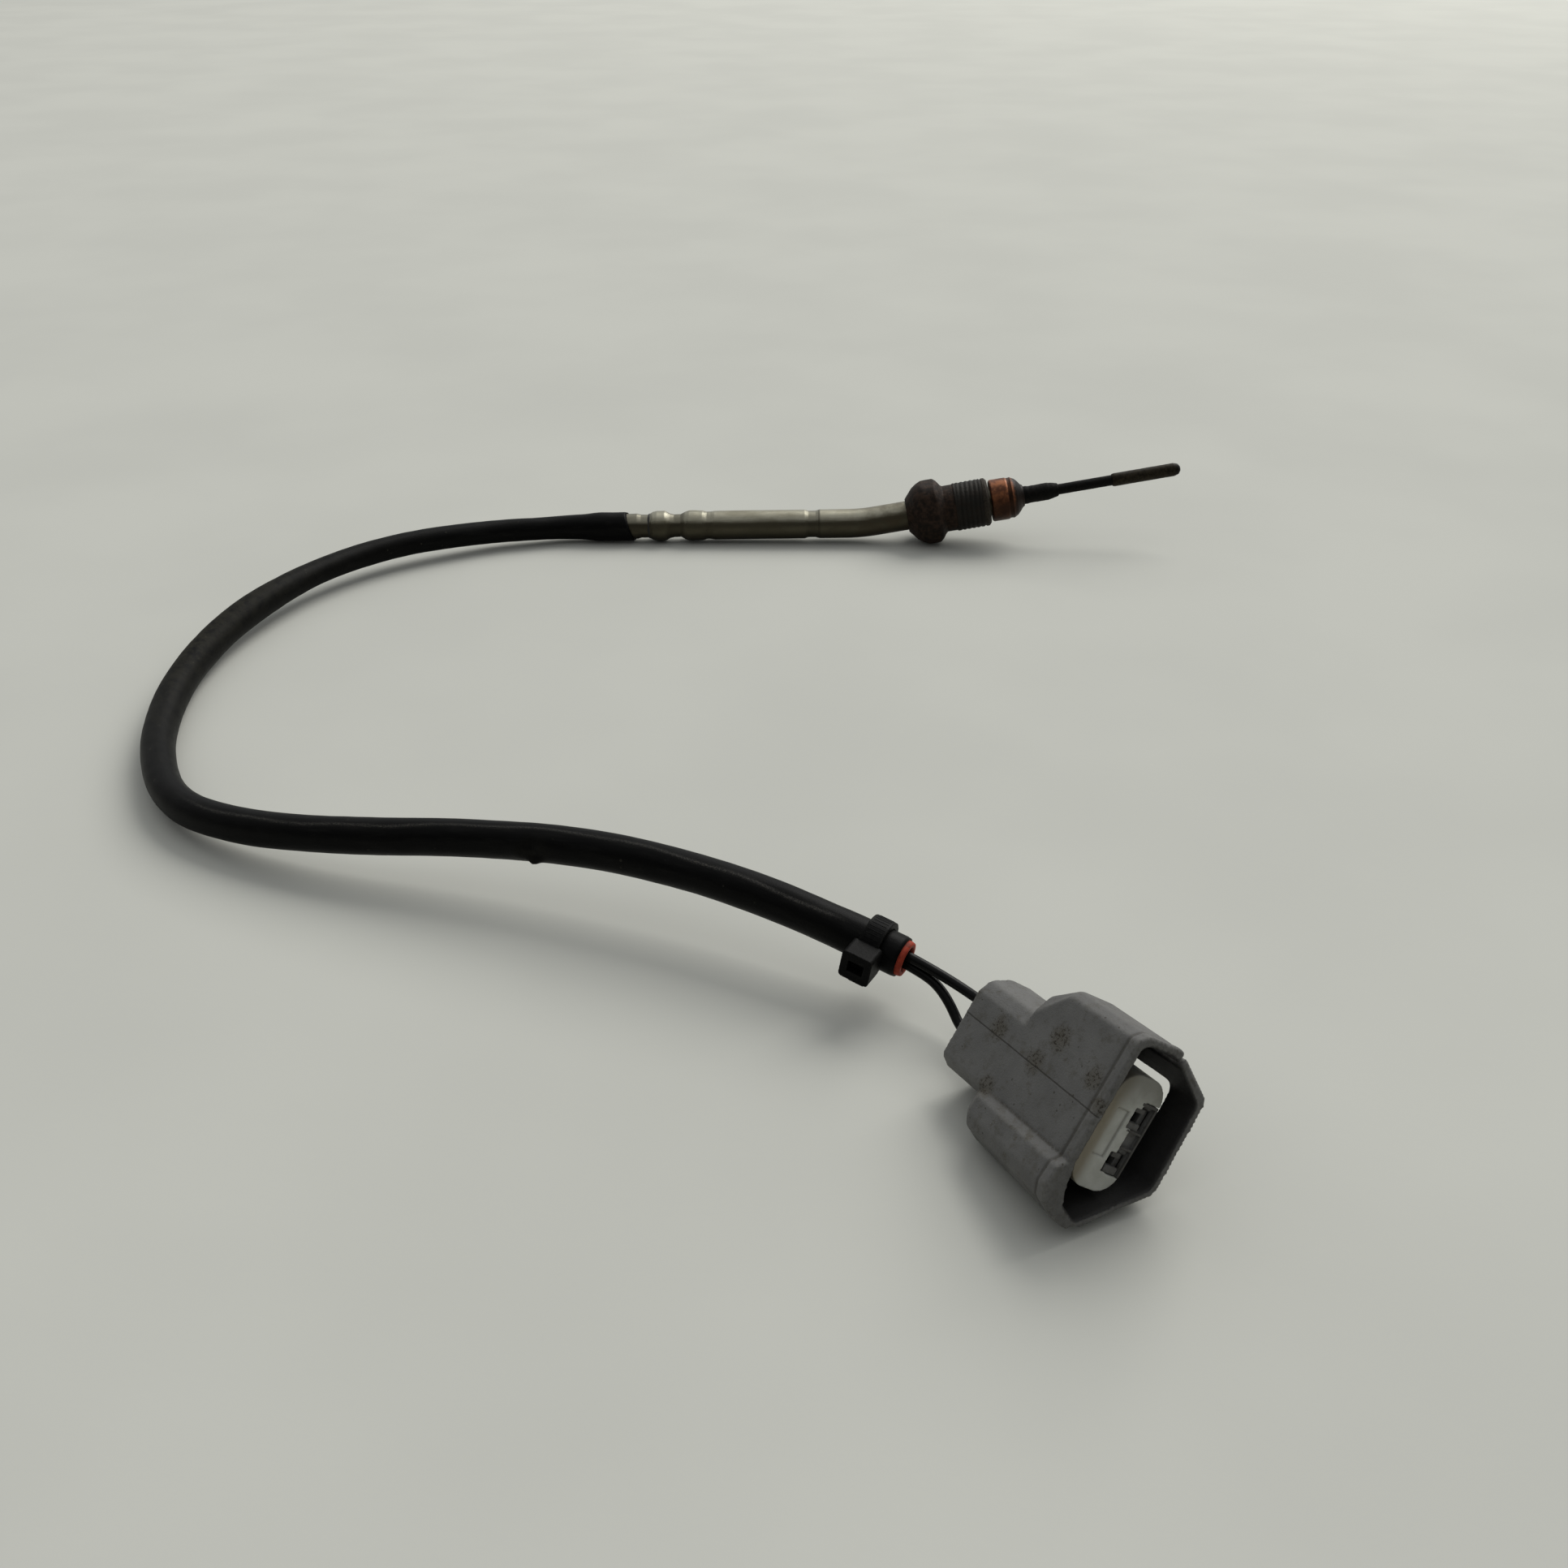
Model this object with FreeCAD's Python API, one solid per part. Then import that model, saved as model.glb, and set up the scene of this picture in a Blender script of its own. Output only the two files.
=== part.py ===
import FreeCAD, Part
import math
import os
from FreeCAD import Matrix, Placement, Rotation, Vector

# Exhaust gas temperature sensor: a sheathed probe with a loose gland nut, a steel neck tube,
# a sleeved lead and a two-pole plug. Millimetres, +Z up, lying on a flat surface at z = 0.
# +X runs along the probe towards its tip. The origin is under the middle of the rigid probe.

# Fits and clearances
NUT_RUNNING_FIT = 0.10
METAL_FIT = 0.03
LOOSE_FIT = 0.05
RUBBER_FIT = 0.05

# How the probe lies
NECK_RISE = 0.8
PROBE_RISE = 10.4

# Gland nut, stations from its rear face
HEX_FLATS = 16.5
HEX_CORNERS = 17.3
HEX_LENGTH = 10.0
HEX_REAR_FACE = 9.0
HEX_CROWN_START = 2.2
HEX_CROWN_DIAMETER = 14.0
HEX_CROWN_LENGTH = 5.0
HEX_FRONT_CHAMFER = 2.0
HEX_FRONT_FACE = 13.0
SHANK_DIAMETER = 12.4
SHANK_LENGTH = 3.4
THREAD_DIAMETER = 12.9
THREAD_LENGTH = 9.0
THREAD_END_CHAMFER = 0.7
NUT_SEAT_CHAMFER = 0.8

# Steel neck tube, stations from its rear end
TUBE_DIAMETER = 7.8
TUBE_WALL = 0.8
TUBE_SHOWN = 74.5
SLEEVE_GRIP = 10.0
BEND_RADIUS = 50.0
BEND_BEHIND_NUT = 12.5
TUBE_IN_COLLAR = 4.5
CRIMP_SLOPE = 0.5
REAR_CRIMP_END = 3.4
REAR_CRIMP_DEPTH = 0.45
REAR_BULGE = 0.3
MIDDLE_CRIMP_START = 10.0
MIDDLE_CRIMP_WIDTH = 3.1
MIDDLE_CRIMP_DEPTH = 0.75
MIDDLE_BULGE_WIDTH = 6.4
MIDDLE_BULGE = 0.2
FRONT_GROOVE_START = 46.9
FRONT_GROOVE_WIDTH = 3.8
FRONT_GROOVE_DEPTH = 0.3

# Seat collar in front of the nut
COLLAR_GAP = 0.5
COLLAR_DIAMETER = 11.3
COLLAR_LENGTH = 6.2
COLLAR_CHAMFER = 0.5
DOME_LENGTH = 2.8
DOME_SHOULDER_DIAMETER = 10.2
DOME_FRONT_DIAMETER = 5.7
DOME_CROWN = 0.3

# Probe in front of the collar
SUPPORT_DIAMETER = 4.8
SUPPORT_LENGTH = 9.5
SUPPORT_TAPER_LENGTH = 2.2
SUPPORT_END_DIAMETER = 3.9
SHEATH_DIAMETER = 2.8
SHEATH_WALL = 0.3
SHEATH_LENGTH = 14.5
SHEATH_IN_CAP = 2.0
SHEATH_REAR_STATION = 8.0
CAP_DIAMETER = 3.5
CAP_LENGTH = 18.2
CORE_RECESS = 0.3
SHEATH_WIRE_DIAMETER = 0.4
ELEMENT_LENGTH = 3.0
ELEMENT_WIDTH = 2.1
ELEMENT_THICKNESS = 0.9
ELEMENT_FROM_TIP = 6.0
CEMENT_FROM_TIP = 1.6

# Splice inside the neck tube, stations from the nut's rear face
CRIMP_DIAMETER = 1.32
CRIMP_LENGTH = 6.0
CRIMP_START = -2.0
SPLICE_TUBE_DIAMETER = 5.2
SPLICE_TUBE_BORE = 3.5
SPLICE_TUBE_REAR = -7.0
SPLICE_TUBE_OVER_SHEATH = 1.5

# Lead wires, sleeve and inner tube
WIRE_DIAMETER = 1.4
WIRE_SPACING = 1.44
CONDUCTOR_DIAMETER = 0.7
CONDUCTOR_BARED = 2.8
SLEEVE_DIAMETER = 7.0
SLEEVE_WALL = 0.4
SLEEVE_FLARE_LENGTH = 4.5
SLEEVE_GRIP_WALL = 0.4
INNER_TUBE_WALL = 0.85
INNER_TUBE_BEHIND_NECK = 0.3
INNER_TUBE_SHOWN = 0.9
GROMMET_INSET = 3.0
GROMMET_LENGTH = 21.0

# Cable tie round the sleeve's far end
TIE_FROM_SLEEVE_END = 5.0
TIE_WIDTH = 3.6
TIE_THICKNESS = 1.1
TIE_HEAD_ALONG = 5.4
TIE_HEAD_TALL = 5.4
TIE_HEAD_DEEP = 4.0
TIE_STUB_LENGTH = 1.8
TIE_HEAD_ROUND = 0.7
TIE_SLOT_TALL = 2.2
TIE_SLOT_MARGIN = 0.4

# Plug: where its mouth's big face lies and how it is turned
PLUG_MOUTH = Vector(15.05, -247.07, 20.20)
PLUG_HEADING = -64.0
PLUG_RISE = 10.0
PLUG_ROLL = 52.16

# Plug housing; stations run back from the mouth, across is along its big face, deep goes in from it
PLUG_LENGTH = 33.0
REAR_BLOCK_FRONT = 17.0
SHOULDER_REAR = 20.5
SHOULDER_FRONT = 15.5
SHROUD_DEPTH = 15.5
RAIL_LENGTH = 22.6
RAIL_NOSE = 2.1
SLIT_LENGTH = 12.0
TOWER_FRONT = 5.0
TOWER_LEFT = -12.3
TOWER_RIGHT = 5.4
TOWER_TOP = 3.1
TOWER_BOTTOM = 12.2
TOWER_ROUND = 3.4
HOLDER_FRONT = 2.0
INSERT_FRONT = 2.6
INSERT_LEFT = -9.4
INSERT_RIGHT = 2.0
INSERT_TOP = 9.4
INSERT_ROUND = 0.3
POLE_MIDDLE = -4.2
POLE_PITCH = 7.0
POLE_DEEP = 8.8
POLE_OPENING_WIDE = 3.2
POLE_OPENING_TALL = 3.6
POLE_OPENING_DROP = 1.3
CAVITY_WIDE = 3.0
CAVITY_REAR = 24.0
SEAL_POCKET_DIAMETER = 4.7
SEAL_LENGTH = 6.0
SEAL_INSET = 1.2
SEAL_RIBS = 3
SEAL_RIB_HEIGHT = 0.35
TERMINAL_BOX = 2.3
TERMINAL_WALL = 0.3
TERMINAL_FRONT = 5.6
TERMINAL_BOX_REAR = 16.0
TERMINAL_BARREL_REAR = 22.5
TERMINAL_BARREL_DIAMETER = 1.5
RING_SEAL_FRONT = 10.5
RING_SEAL_LENGTH = 3.0
RING_SEAL_THICKNESS = 0.6
HOLDER_MARK_DEPTH = 0.3
HOLDER_MARK_INSET = 2.0
HOLDER_MARK_WIDE = 2.4

# Outlines of the plug's sections as (across, deep), clockwise seen from the mouth
REAR_BLOCK_OUTLINE = [(-9.3, 0), (1.8, 0), (4.0, 1.2), (5.3, 4.6), (5.3, 9.2), (3.0, 11.8), (-8.4, 11.8),
                      (-10.9, 9.0), (-10.9, 2.0)]
REAR_BLOCK_ROUNDS = [0.9, 1.2, 1.5, 1.5, 1.5, 1.5, 1.5, 1.5, 1.2]
SHOULDER_OUTLINE = [(-8.8, 0), (4.0, 0), (7.4, 1.6), (8.4, 7.8), (5.0, 14.6), (-8.0, 15.2), (-15.2, 5.6)]
BODY_OUTLINE = [(-8.8, 0), (9.2, 0), (10.6, 1.5), (10.8, 8.0), (5.7, 16.8), (-8.6, 17.2), (-17.5, 6.5)]
MOUTH_OUTLINE = [(-8.8, 0), (9.6, 0), (10.8, 1.5), (11.0, 8.2), (5.9, 17.5), (-9.1, 18.1), (-18.4, 6.5)]
BODY_ROUNDS = [0.4, 1.0, 1.0, 1.2, 2.2, 2.4, 2.0]
BORE_OUTLINE = [(-9.0, 1.3), (8.8, 1.3), (9.6, 2.6), (9.7, 7.8), (5.0, 16.2), (-8.6, 16.8), (-16.8, 6.8),
                (-15.2, 3.4), (-13.0, 2.3)]
BORE_FLOOR_OUTLINE = [(-9.0, 1.3), (8.4, 1.3), (9.2, 2.6), (9.4, 7.6), (4.8, 15.5), (-8.1, 15.8),
                      (-15.7, 6.7), (-14.8, 3.6), (-12.8, 2.5)]
BORE_ROUNDS = [0.4, 0.9, 0.9, 1.0, 1.8, 2.0, 1.2, 0.6, 0.4]
RAIL_OUTLINE = [(-9.2, 0.6), (-9.4, -0.2), (-10.4, -1.4), (-13.6, -1.6), (-15.6, -0.6), (-17.5, 3.0),
                (-18.2, 6.4), (-15.6, 7.4), (-14.4, 3.0)]
RAIL_HEEL_OUTLINE = [(-9.2, 0.6), (-9.4, -0.1), (-10.4, -1.1), (-13.2, -1.2), (-15.0, -0.2), (-16.6, 3.0),
                     (-16.9, 5.5), (-15.4, 6.3), (-14.4, 3.0)]
RAIL_REAR_OUTLINE = [(-9.2, 1.6), (-9.6, 1.0), (-10.4, 0.4), (-13.0, 0.5), (-14.6, 1.2), (-16.0, 3.2),
                     (-16.2, 4.8), (-15.0, 5.6), (-14.4, 3.2)]
RAIL_ROUNDS = [0.2, 0.3, 0.7, 1.2, 1.4, 2.0, 0.5, 0.3, 0.3]
SLIT_OUTLINE = [(8.0, 8.9), (12.0, 8.9), (12.0, 9.7), (8.0, 9.7)]
WINDOW_OUTLINE = [(0.5, 14.6), (5.7, 14.6), (5.7, 19.0), (0.5, 19.0)]
WINDOW_FRONT = 5.6
WINDOW_LENGTH = 8.8

# Lead route after the neck's axis line, corners chosen by hand
ROUTE_START_BEHIND = 26.4
LEAD_ROUTE = [(-120.2, -11.2, 5.5), (-136.3, -22.5, 5.9), (-149.6, -38.5, 6.0), (-158.1, -59.5, 5.7),
              (-162.1, -82.0, 4.7), (-161.2, -105.0, 4.2), (-156.2, -126.0, 4.1), (-146.4, -145.0, 4.5),
              (-130.1, -156.2, 5.9), (-108.3, -162.9, 8.4), (-84.8, -167.3, 11.1), (-62.3, -173.6, 13.2),
              (-40.3, -182.4, 13.0), (-20.6, -193.7, 11.6)]
SLEEVE_END = (-8.5, -200.5, 9.2)
WIRE_LEAVES = (-5.9, -201.9, 8.7)
WIRE_APPROACH = 6.0


def turned_about_x(outline):
    """Solid of revolution about the X axis from (station, radius) points."""
    points = [Vector(x, 0, r) for x, r in outline]
    face = Part.Face(Part.makePolygon(points + [points[0]]))
    return face.revolve(Vector(0, 0, 0), Vector(1, 0, 0), 360)


def rod(start, end, diameter, across=0.0, up=0.0):
    """Plain round bar along X."""
    return Part.makeCylinder(diameter / 2, end - start, Vector(start, across, up), Vector(1, 0, 0))


def ring(start, end, outer, inner):
    """Round tube along X."""
    return rod(start, end, outer).cut(rod(start - 1, end + 1, inner))


def block(start, end, left, right, low, high):
    """Box from its limits along X, Y and Z."""
    return Part.makeBox(end - start, right - left, high - low, Vector(start, left, low))


def rounded_wire(station, outline, rounds):
    """Closed outline across X at a station, with an arc at each corner."""
    corners = [Vector(station, across, -deep) for across, deep in outline]
    count = len(corners)
    arcs = []
    for i in range(count):
        before = corners[i - 1] - corners[i]
        after = corners[(i + 1) % count] - corners[i]
        room = 0.45 * min(before.Length, after.Length)
        reach = min(rounds[i] / math.tan(before.getAngle(after) / 2), room)
        first = corners[i] + before.normalize() * reach
        last = corners[i] + after.normalize() * reach
        arcs.append(corner_arc(first, corners[i], last))
    edges = []
    for i in range(count):
        edges.append(arcs[i].toShape())
        edges.append(Part.makeLine(arcs[i].EndPoint, arcs[(i + 1) % count].StartPoint))
    return Part.Wire(edges)


def corner_arc(first, corner, last):
    """Arc tangent to both sides of a corner, through its two tangent points."""
    chord_middle = (first + last) * 0.5
    half_chord = (last - first).Length / 2
    reach = (first - corner).Length
    to_middle = chord_middle - corner
    radius = reach * half_chord / to_middle.Length
    centre = corner + to_middle * (reach * reach / to_middle.Length ** 2)
    top = centre + (corner - centre).normalize() * radius
    return Part.Arc(first, top, last)


def prism(front, rear, outline, rounds):
    """Straight bar of one plug section between two stations behind the mouth."""
    face = Part.Face(rounded_wire(-rear, outline, rounds))
    return face.extrude(Vector(rear - front, 0, 0))


def loft(sections, rounds):
    """Skin through plug sections given as (station behind the mouth, outline)."""
    wires = [rounded_wire(-station, outline, rounds) for station, outline in sections]
    return Part.makeLoft(wires, True, True)


def path_through(points, name, start_after=0.0, run_on=0.0):
    """Straight runs joined by tangent arcs, as large as the runs allow.

    It may start along the first run, and run on past the last point.
    """
    points = [Vector(*p) for p in points]
    edges = []
    length = 0.0
    radii = []
    here = points[0] + (points[1] - points[0]).normalize() * start_after
    for i in range(1, len(points) - 1):
        back = points[i - 1] - points[i]
        ahead = points[i + 1] - points[i]
        reach = 0.45 * min(back.Length, ahead.Length)
        half_turn = (math.pi - back.getAngle(ahead)) / 2
        first = points[i] + back.normalize() * reach
        last = points[i] + ahead.normalize() * reach
        edges.append(Part.LineSegment(here, first).toShape())
        edges.append(corner_arc(first, points[i], last).toShape())
        radius = reach / math.tan(half_turn)
        radii.append(radius)
        length += (first - here).Length + radius * 2 * half_turn
        here = last
    end = points[-1] + (points[-1] - points[-2]).normalize() * run_on
    edges.append(Part.LineSegment(here, end).toShape())
    length += (end - here).Length
    print(name, "length", round(length, 1), "radii", [round(r) for r in radii])
    return Part.Wire(edges), length


def swept(path, diameter):
    """Round bar along a path of lines and tangent arcs."""
    start = path.Edges[0].Vertexes[0].Point
    along = path.Edges[0].tangentAt(path.Edges[0].FirstParameter)
    profile = Part.Wire(Part.makeCircle(diameter / 2, start, along))
    return path.makePipeShell([profile], True, False)


def compare_volume(name, shape, section, length):
    print(name, "volume", round(shape.Volume, 1), "section times length", round(section * length, 1))


def circle_area(diameter):
    return math.pi * diameter ** 2 / 4


# Stations along the probe from the nut's rear face, and where the neck's two straights lie
neck_rise = math.radians(NECK_RISE)
probe_rise = math.radians(PROBE_RISE)
bend_turn = probe_rise - neck_rise
bend_reach = BEND_RADIUS * math.tan(bend_turn / 2)
nut_length = HEX_LENGTH + SHANK_LENGTH + THREAD_LENGTH
collar_start = nut_length + COLLAR_GAP
collar_end = collar_start + COLLAR_LENGTH
dome_end = collar_end + DOME_LENGTH
tube_front = collar_start + TUBE_IN_COLLAR
support_end = dome_end + SUPPORT_LENGTH
cap_start = support_end + SHEATH_LENGTH
tip = cap_start + CAP_LENGTH
neck_straight = TUBE_SHOWN + SLEEVE_GRIP - (BEND_BEHIND_NUT - bend_reach) - BEND_RADIUS * bend_turn
tube_rear = -(neck_straight + bend_reach)
sleeve_mouth = tube_rear + SLEEVE_GRIP
tube_bore = TUBE_DIAMETER - 2 * TUBE_WALL

# The nut lies on the rear edge of its lowest flat, where the crown reaches the flat
crown_slope = (HEX_CROWN_LENGTH - HEX_CROWN_START) / (HEX_CORNERS - HEX_CROWN_DIAMETER)
flat_edge = HEX_CROWN_START + (HEX_FLATS - HEX_CROWN_DIAMETER) * crown_slope
nut_height = HEX_FLATS / 2 * math.cos(probe_rise) - flat_edge * math.sin(probe_rise)
reach_front = (tip - CAP_DIAMETER / 2) * math.cos(probe_rise) + CAP_DIAMETER / 2
reach_rear = (BEND_BEHIND_NUT * math.cos(probe_rise) - tube_rear * math.cos(neck_rise)
              + TUBE_DIAMETER / 2 * math.sin(neck_rise))
nut_place = Vector((reach_rear - reach_front) / 2, 0, nut_height)
PROBE = Placement(nut_place, Rotation(Vector(0, 1, 0), -PROBE_RISE))
bend_corner = PROBE.multVec(Vector(-BEND_BEHIND_NUT, 0, 0))
NECK = Placement(bend_corner, Rotation(Vector(0, 1, 0), -NECK_RISE))
PLUG = Placement(PLUG_MOUTH, Rotation(Vector(0, 0, 1), PLUG_HEADING)
                 .multiply(Rotation(Vector(0, 1, 0), -PLUG_RISE))
                 .multiply(Rotation(Vector(1, 0, 0), PLUG_ROLL)))
poles = [POLE_MIDDLE + POLE_PITCH / 2, POLE_MIDDLE - POLE_PITCH / 2]

# Diameters that follow from the sizes above
sleeve_bore = SLEEVE_DIAMETER - 2 * SLEEVE_WALL
inner_tube_diameter = sleeve_bore - 2 * RUBBER_FIT
inner_tube_bore = inner_tube_diameter - 2 * INNER_TUBE_WALL
sheath_bore = SHEATH_DIAMETER - 2 * SHEATH_WALL
cap_bore = SHEATH_DIAMETER + 2 * METAL_FIT
wire_hole = SHEATH_WIRE_DIAMETER + 2 * METAL_FIT
core_front = cap_start + SHEATH_IN_CAP - CORE_RECESS
element_rear = tip - ELEMENT_FROM_TIP - ELEMENT_LENGTH
wire_offsets = [WIRE_SPACING / 2, -WIRE_SPACING / 2]


def gland_nut():
    """Hexagon, plain shank and threaded length, which turn freely on the neck tube."""
    corner = HEX_FLATS / 2 / math.cos(math.pi / 6)
    turns = [math.radians(60 * i + 30) for i in range(6)]
    hexagon = [Vector(0, corner * math.sin(turn), corner * math.cos(turn)) for turn in turns]
    bar = Part.Face(Part.makePolygon(hexagon + [hexagon[0]])).extrude(Vector(HEX_LENGTH, 0, 0))
    envelope = turned_about_x([(0, 0), (0, HEX_REAR_FACE / 2), (HEX_CROWN_START, HEX_CROWN_DIAMETER / 2),
                               (HEX_CROWN_LENGTH, HEX_CORNERS / 2),
                               (HEX_LENGTH - HEX_FRONT_CHAMFER, HEX_CORNERS / 2),
                               (HEX_LENGTH, HEX_FRONT_FACE / 2), (HEX_LENGTH, 0)])
    thread_start = HEX_LENGTH + SHANK_LENGTH
    thread_radius = THREAD_DIAMETER / 2
    lead_in = (THREAD_DIAMETER - SHANK_DIAMETER) / 2
    stem = turned_about_x([(HEX_LENGTH - 1, 0), (HEX_LENGTH - 1, SHANK_DIAMETER / 2),
                           (thread_start - lead_in, SHANK_DIAMETER / 2), (thread_start, thread_radius),
                           (nut_length - THREAD_END_CHAMFER, thread_radius),
                           (nut_length, thread_radius - THREAD_END_CHAMFER), (nut_length, 0)])
    bore_radius = TUBE_DIAMETER / 2 + NUT_RUNNING_FIT
    bore = turned_about_x([(-1, 0), (-1, bore_radius), (nut_length - NUT_SEAT_CHAMFER, bore_radius),
                           (nut_length, bore_radius + NUT_SEAT_CHAMFER),
                           (nut_length + 1, bore_radius + NUT_SEAT_CHAMFER), (nut_length + 1, 0)])
    return bar.common(envelope).fuse(stem).removeSplitter().cut(bore)


def neck_outline(radius):
    """Stations and radii of the rear straight's wall before the bend.

    The end under the sleeve is drawn in to the depth of the first crimp.
    """
    slope = CRIMP_SLOPE
    first_end = sleeve_mouth + REAR_CRIMP_END
    second = sleeve_mouth + MIDDLE_CRIMP_START
    third = sleeve_mouth + FRONT_GROOVE_START
    second_end = second + MIDDLE_CRIMP_WIDTH
    third_end = third + FRONT_GROOVE_WIDTH
    bulge_end = second_end + MIDDLE_BULGE_WIDTH
    return [(tube_rear, radius - REAR_CRIMP_DEPTH), (first_end - slope, radius - REAR_CRIMP_DEPTH),
            (first_end + slope, radius + REAR_BULGE), (second - slope, radius + REAR_BULGE),
            (second + slope, radius - MIDDLE_CRIMP_DEPTH), (second_end - slope, radius - MIDDLE_CRIMP_DEPTH),
            (second_end + slope, radius + MIDDLE_BULGE), (bulge_end, radius + MIDDLE_BULGE),
            (bulge_end + 2 * slope, radius),
            (third, radius), (third + slope, radius - FRONT_GROOVE_DEPTH),
            (third_end - slope, radius - FRONT_GROOVE_DEPTH), (third_end, radius),
            (-bend_reach, radius)]


def steel_tube():
    """Neck tube: crimped straight, one bend, and the straight that the nut turns on."""
    outer = TUBE_DIAMETER / 2
    inner = tube_bore / 2
    wall = turned_about_x(neck_outline(outer) + list(reversed(neck_outline(inner))))
    section = Part.Face([Part.Wire(Part.makeCircle(outer, Vector(-bend_reach, 0, 0), Vector(1, 0, 0))),
                         Part.Wire(Part.makeCircle(inner, Vector(-bend_reach, 0, 0), Vector(1, 0, 0)))])
    bend = section.revolve(Vector(-bend_reach, 0, BEND_RADIUS), Vector(0, -1, 0), math.degrees(bend_turn))
    rear = wall.fuse(bend)
    rear.Placement = NECK
    front = ring(bend_reach - BEND_BEHIND_NUT, tube_front, TUBE_DIAMETER, tube_bore)
    front.Placement = PROBE
    return rear.fuse(front).removeSplitter()


def tube_grommet():
    """Rubber bush that the crimps squeeze round the wires."""
    start = tube_rear + GROMMET_INSET
    end = start + GROMMET_LENGTH
    outline = [(x, r) for x, r in neck_outline(tube_bore / 2 - RUBBER_FIT) if start < x < end]
    bush = turned_about_x([(start, 0), (start, outline[0][1])] + outline
                          + [(end, outline[-1][1]), (end, 0)])
    for up in wire_offsets:
        bush = bush.cut(rod(start - 1, end + 1, WIRE_DIAMETER + 2 * RUBBER_FIT, 0, up))
    bush.Placement = NECK
    return bush


def seat_collar():
    """Collar welded on the neck tube, with the dome that seats in the exhaust boss."""
    radius = COLLAR_DIAMETER / 2
    middle_radius = (DOME_SHOULDER_DIAMETER + DOME_FRONT_DIAMETER) / 4 + DOME_CROWN
    body = turned_about_x([(collar_start, 0), (collar_start, radius - COLLAR_CHAMFER),
                           (collar_start + COLLAR_CHAMFER, radius), (collar_end - COLLAR_CHAMFER, radius),
                           (collar_end, DOME_SHOULDER_DIAMETER / 2),
                           (collar_end + DOME_LENGTH / 2, middle_radius),
                           (dome_end, DOME_FRONT_DIAMETER / 2), (dome_end, 0)])
    body = body.cut(rod(collar_start - 1, tube_front, TUBE_DIAMETER + 2 * METAL_FIT))
    return body.cut(rod(collar_start, dome_end + 1, SUPPORT_DIAMETER + 2 * METAL_FIT))


def support_sheath():
    """Short stiffening tube between the dome and the thin sheath."""
    radius = SUPPORT_DIAMETER / 2
    taper_start = support_end - SUPPORT_TAPER_LENGTH
    body = turned_about_x([(tube_front, 0), (tube_front, radius), (taper_start, radius),
                           (support_end, SUPPORT_END_DIAMETER / 2), (support_end, 0)])
    return body.cut(rod(tube_front - 1, support_end + 1, SHEATH_DIAMETER + 2 * METAL_FIT))


def mineral_sheath():
    return ring(SHEATH_REAR_STATION, cap_start + SHEATH_IN_CAP, SHEATH_DIAMETER, sheath_bore)


def sheath_core():
    """Packed mineral powder round the two bare wires."""
    core = rod(SHEATH_REAR_STATION, core_front, sheath_bore - 2 * METAL_FIT)
    wire_holes = [rod(SHEATH_REAR_STATION - 1, core_front + 1, wire_hole, 0, up) for up in wire_offsets]
    return core.cut(wire_holes)


def sheath_wire(up):
    middle_of_crimp = CRIMP_START + CRIMP_LENGTH / 2
    return rod(middle_of_crimp, element_rear, SHEATH_WIRE_DIAMETER, 0, up)


def tip_cap():
    """Closed cap with a round end over the sensing element."""
    radius = CAP_DIAMETER / 2
    round_end = Part.makeSphere(radius, Vector(tip - radius, 0, 0))
    body = rod(cap_start, tip - radius, CAP_DIAMETER).fuse(round_end).removeSplitter()
    return body.cut(rod(cap_start - 1, tip - CEMENT_FROM_TIP, cap_bore))


def sensing_element():
    return block(element_rear, element_rear + ELEMENT_LENGTH, -ELEMENT_THICKNESS / 2, ELEMENT_THICKNESS / 2,
                 -ELEMENT_WIDTH / 2, ELEMENT_WIDTH / 2)


def tip_cement():
    """Cement that holds the element and its wires in the cap."""
    start = cap_start + SHEATH_IN_CAP
    body = rod(start, tip - CEMENT_FROM_TIP, cap_bore - 2 * METAL_FIT)
    wire_holes = [rod(start - 1, element_rear, wire_hole, 0, up) for up in wire_offsets]
    side = ELEMENT_THICKNESS / 2 + METAL_FIT
    tall = ELEMENT_WIDTH / 2 + METAL_FIT
    pocket = block(element_rear - METAL_FIT, element_rear + ELEMENT_LENGTH + METAL_FIT, -side, side,
                   -tall, tall)
    return body.cut(wire_holes + [pocket])


def splice_crimp(up):
    """Barrel that joins one lead conductor to one sheath wire."""
    bore = CONDUCTOR_DIAMETER + 2 * METAL_FIT
    barrel = rod(CRIMP_START, CRIMP_START + CRIMP_LENGTH, CRIMP_DIAMETER, 0, up)
    return barrel.cut(rod(CRIMP_START - 1, CRIMP_START + CRIMP_LENGTH + 1, bore, 0, up))


def splice_insulator():
    return ring(SPLICE_TUBE_REAR, SHEATH_REAR_STATION + SPLICE_TUBE_OVER_SHEATH, SPLICE_TUBE_DIAMETER,
                SPLICE_TUBE_BORE)


def sleeve_points():
    """Route of the sleeve: its grip on the neck tube, then the chosen corners."""
    on_tube = NECK.multVec(Vector(sleeve_mouth, 0, 0))
    first_corner = NECK.multVec(Vector(sleeve_mouth - ROUTE_START_BEHIND, 0, 0))
    return [on_tube, first_corner] + [Vector(*p) for p in LEAD_ROUTE] + [Vector(*SLEEVE_END)]


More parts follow.
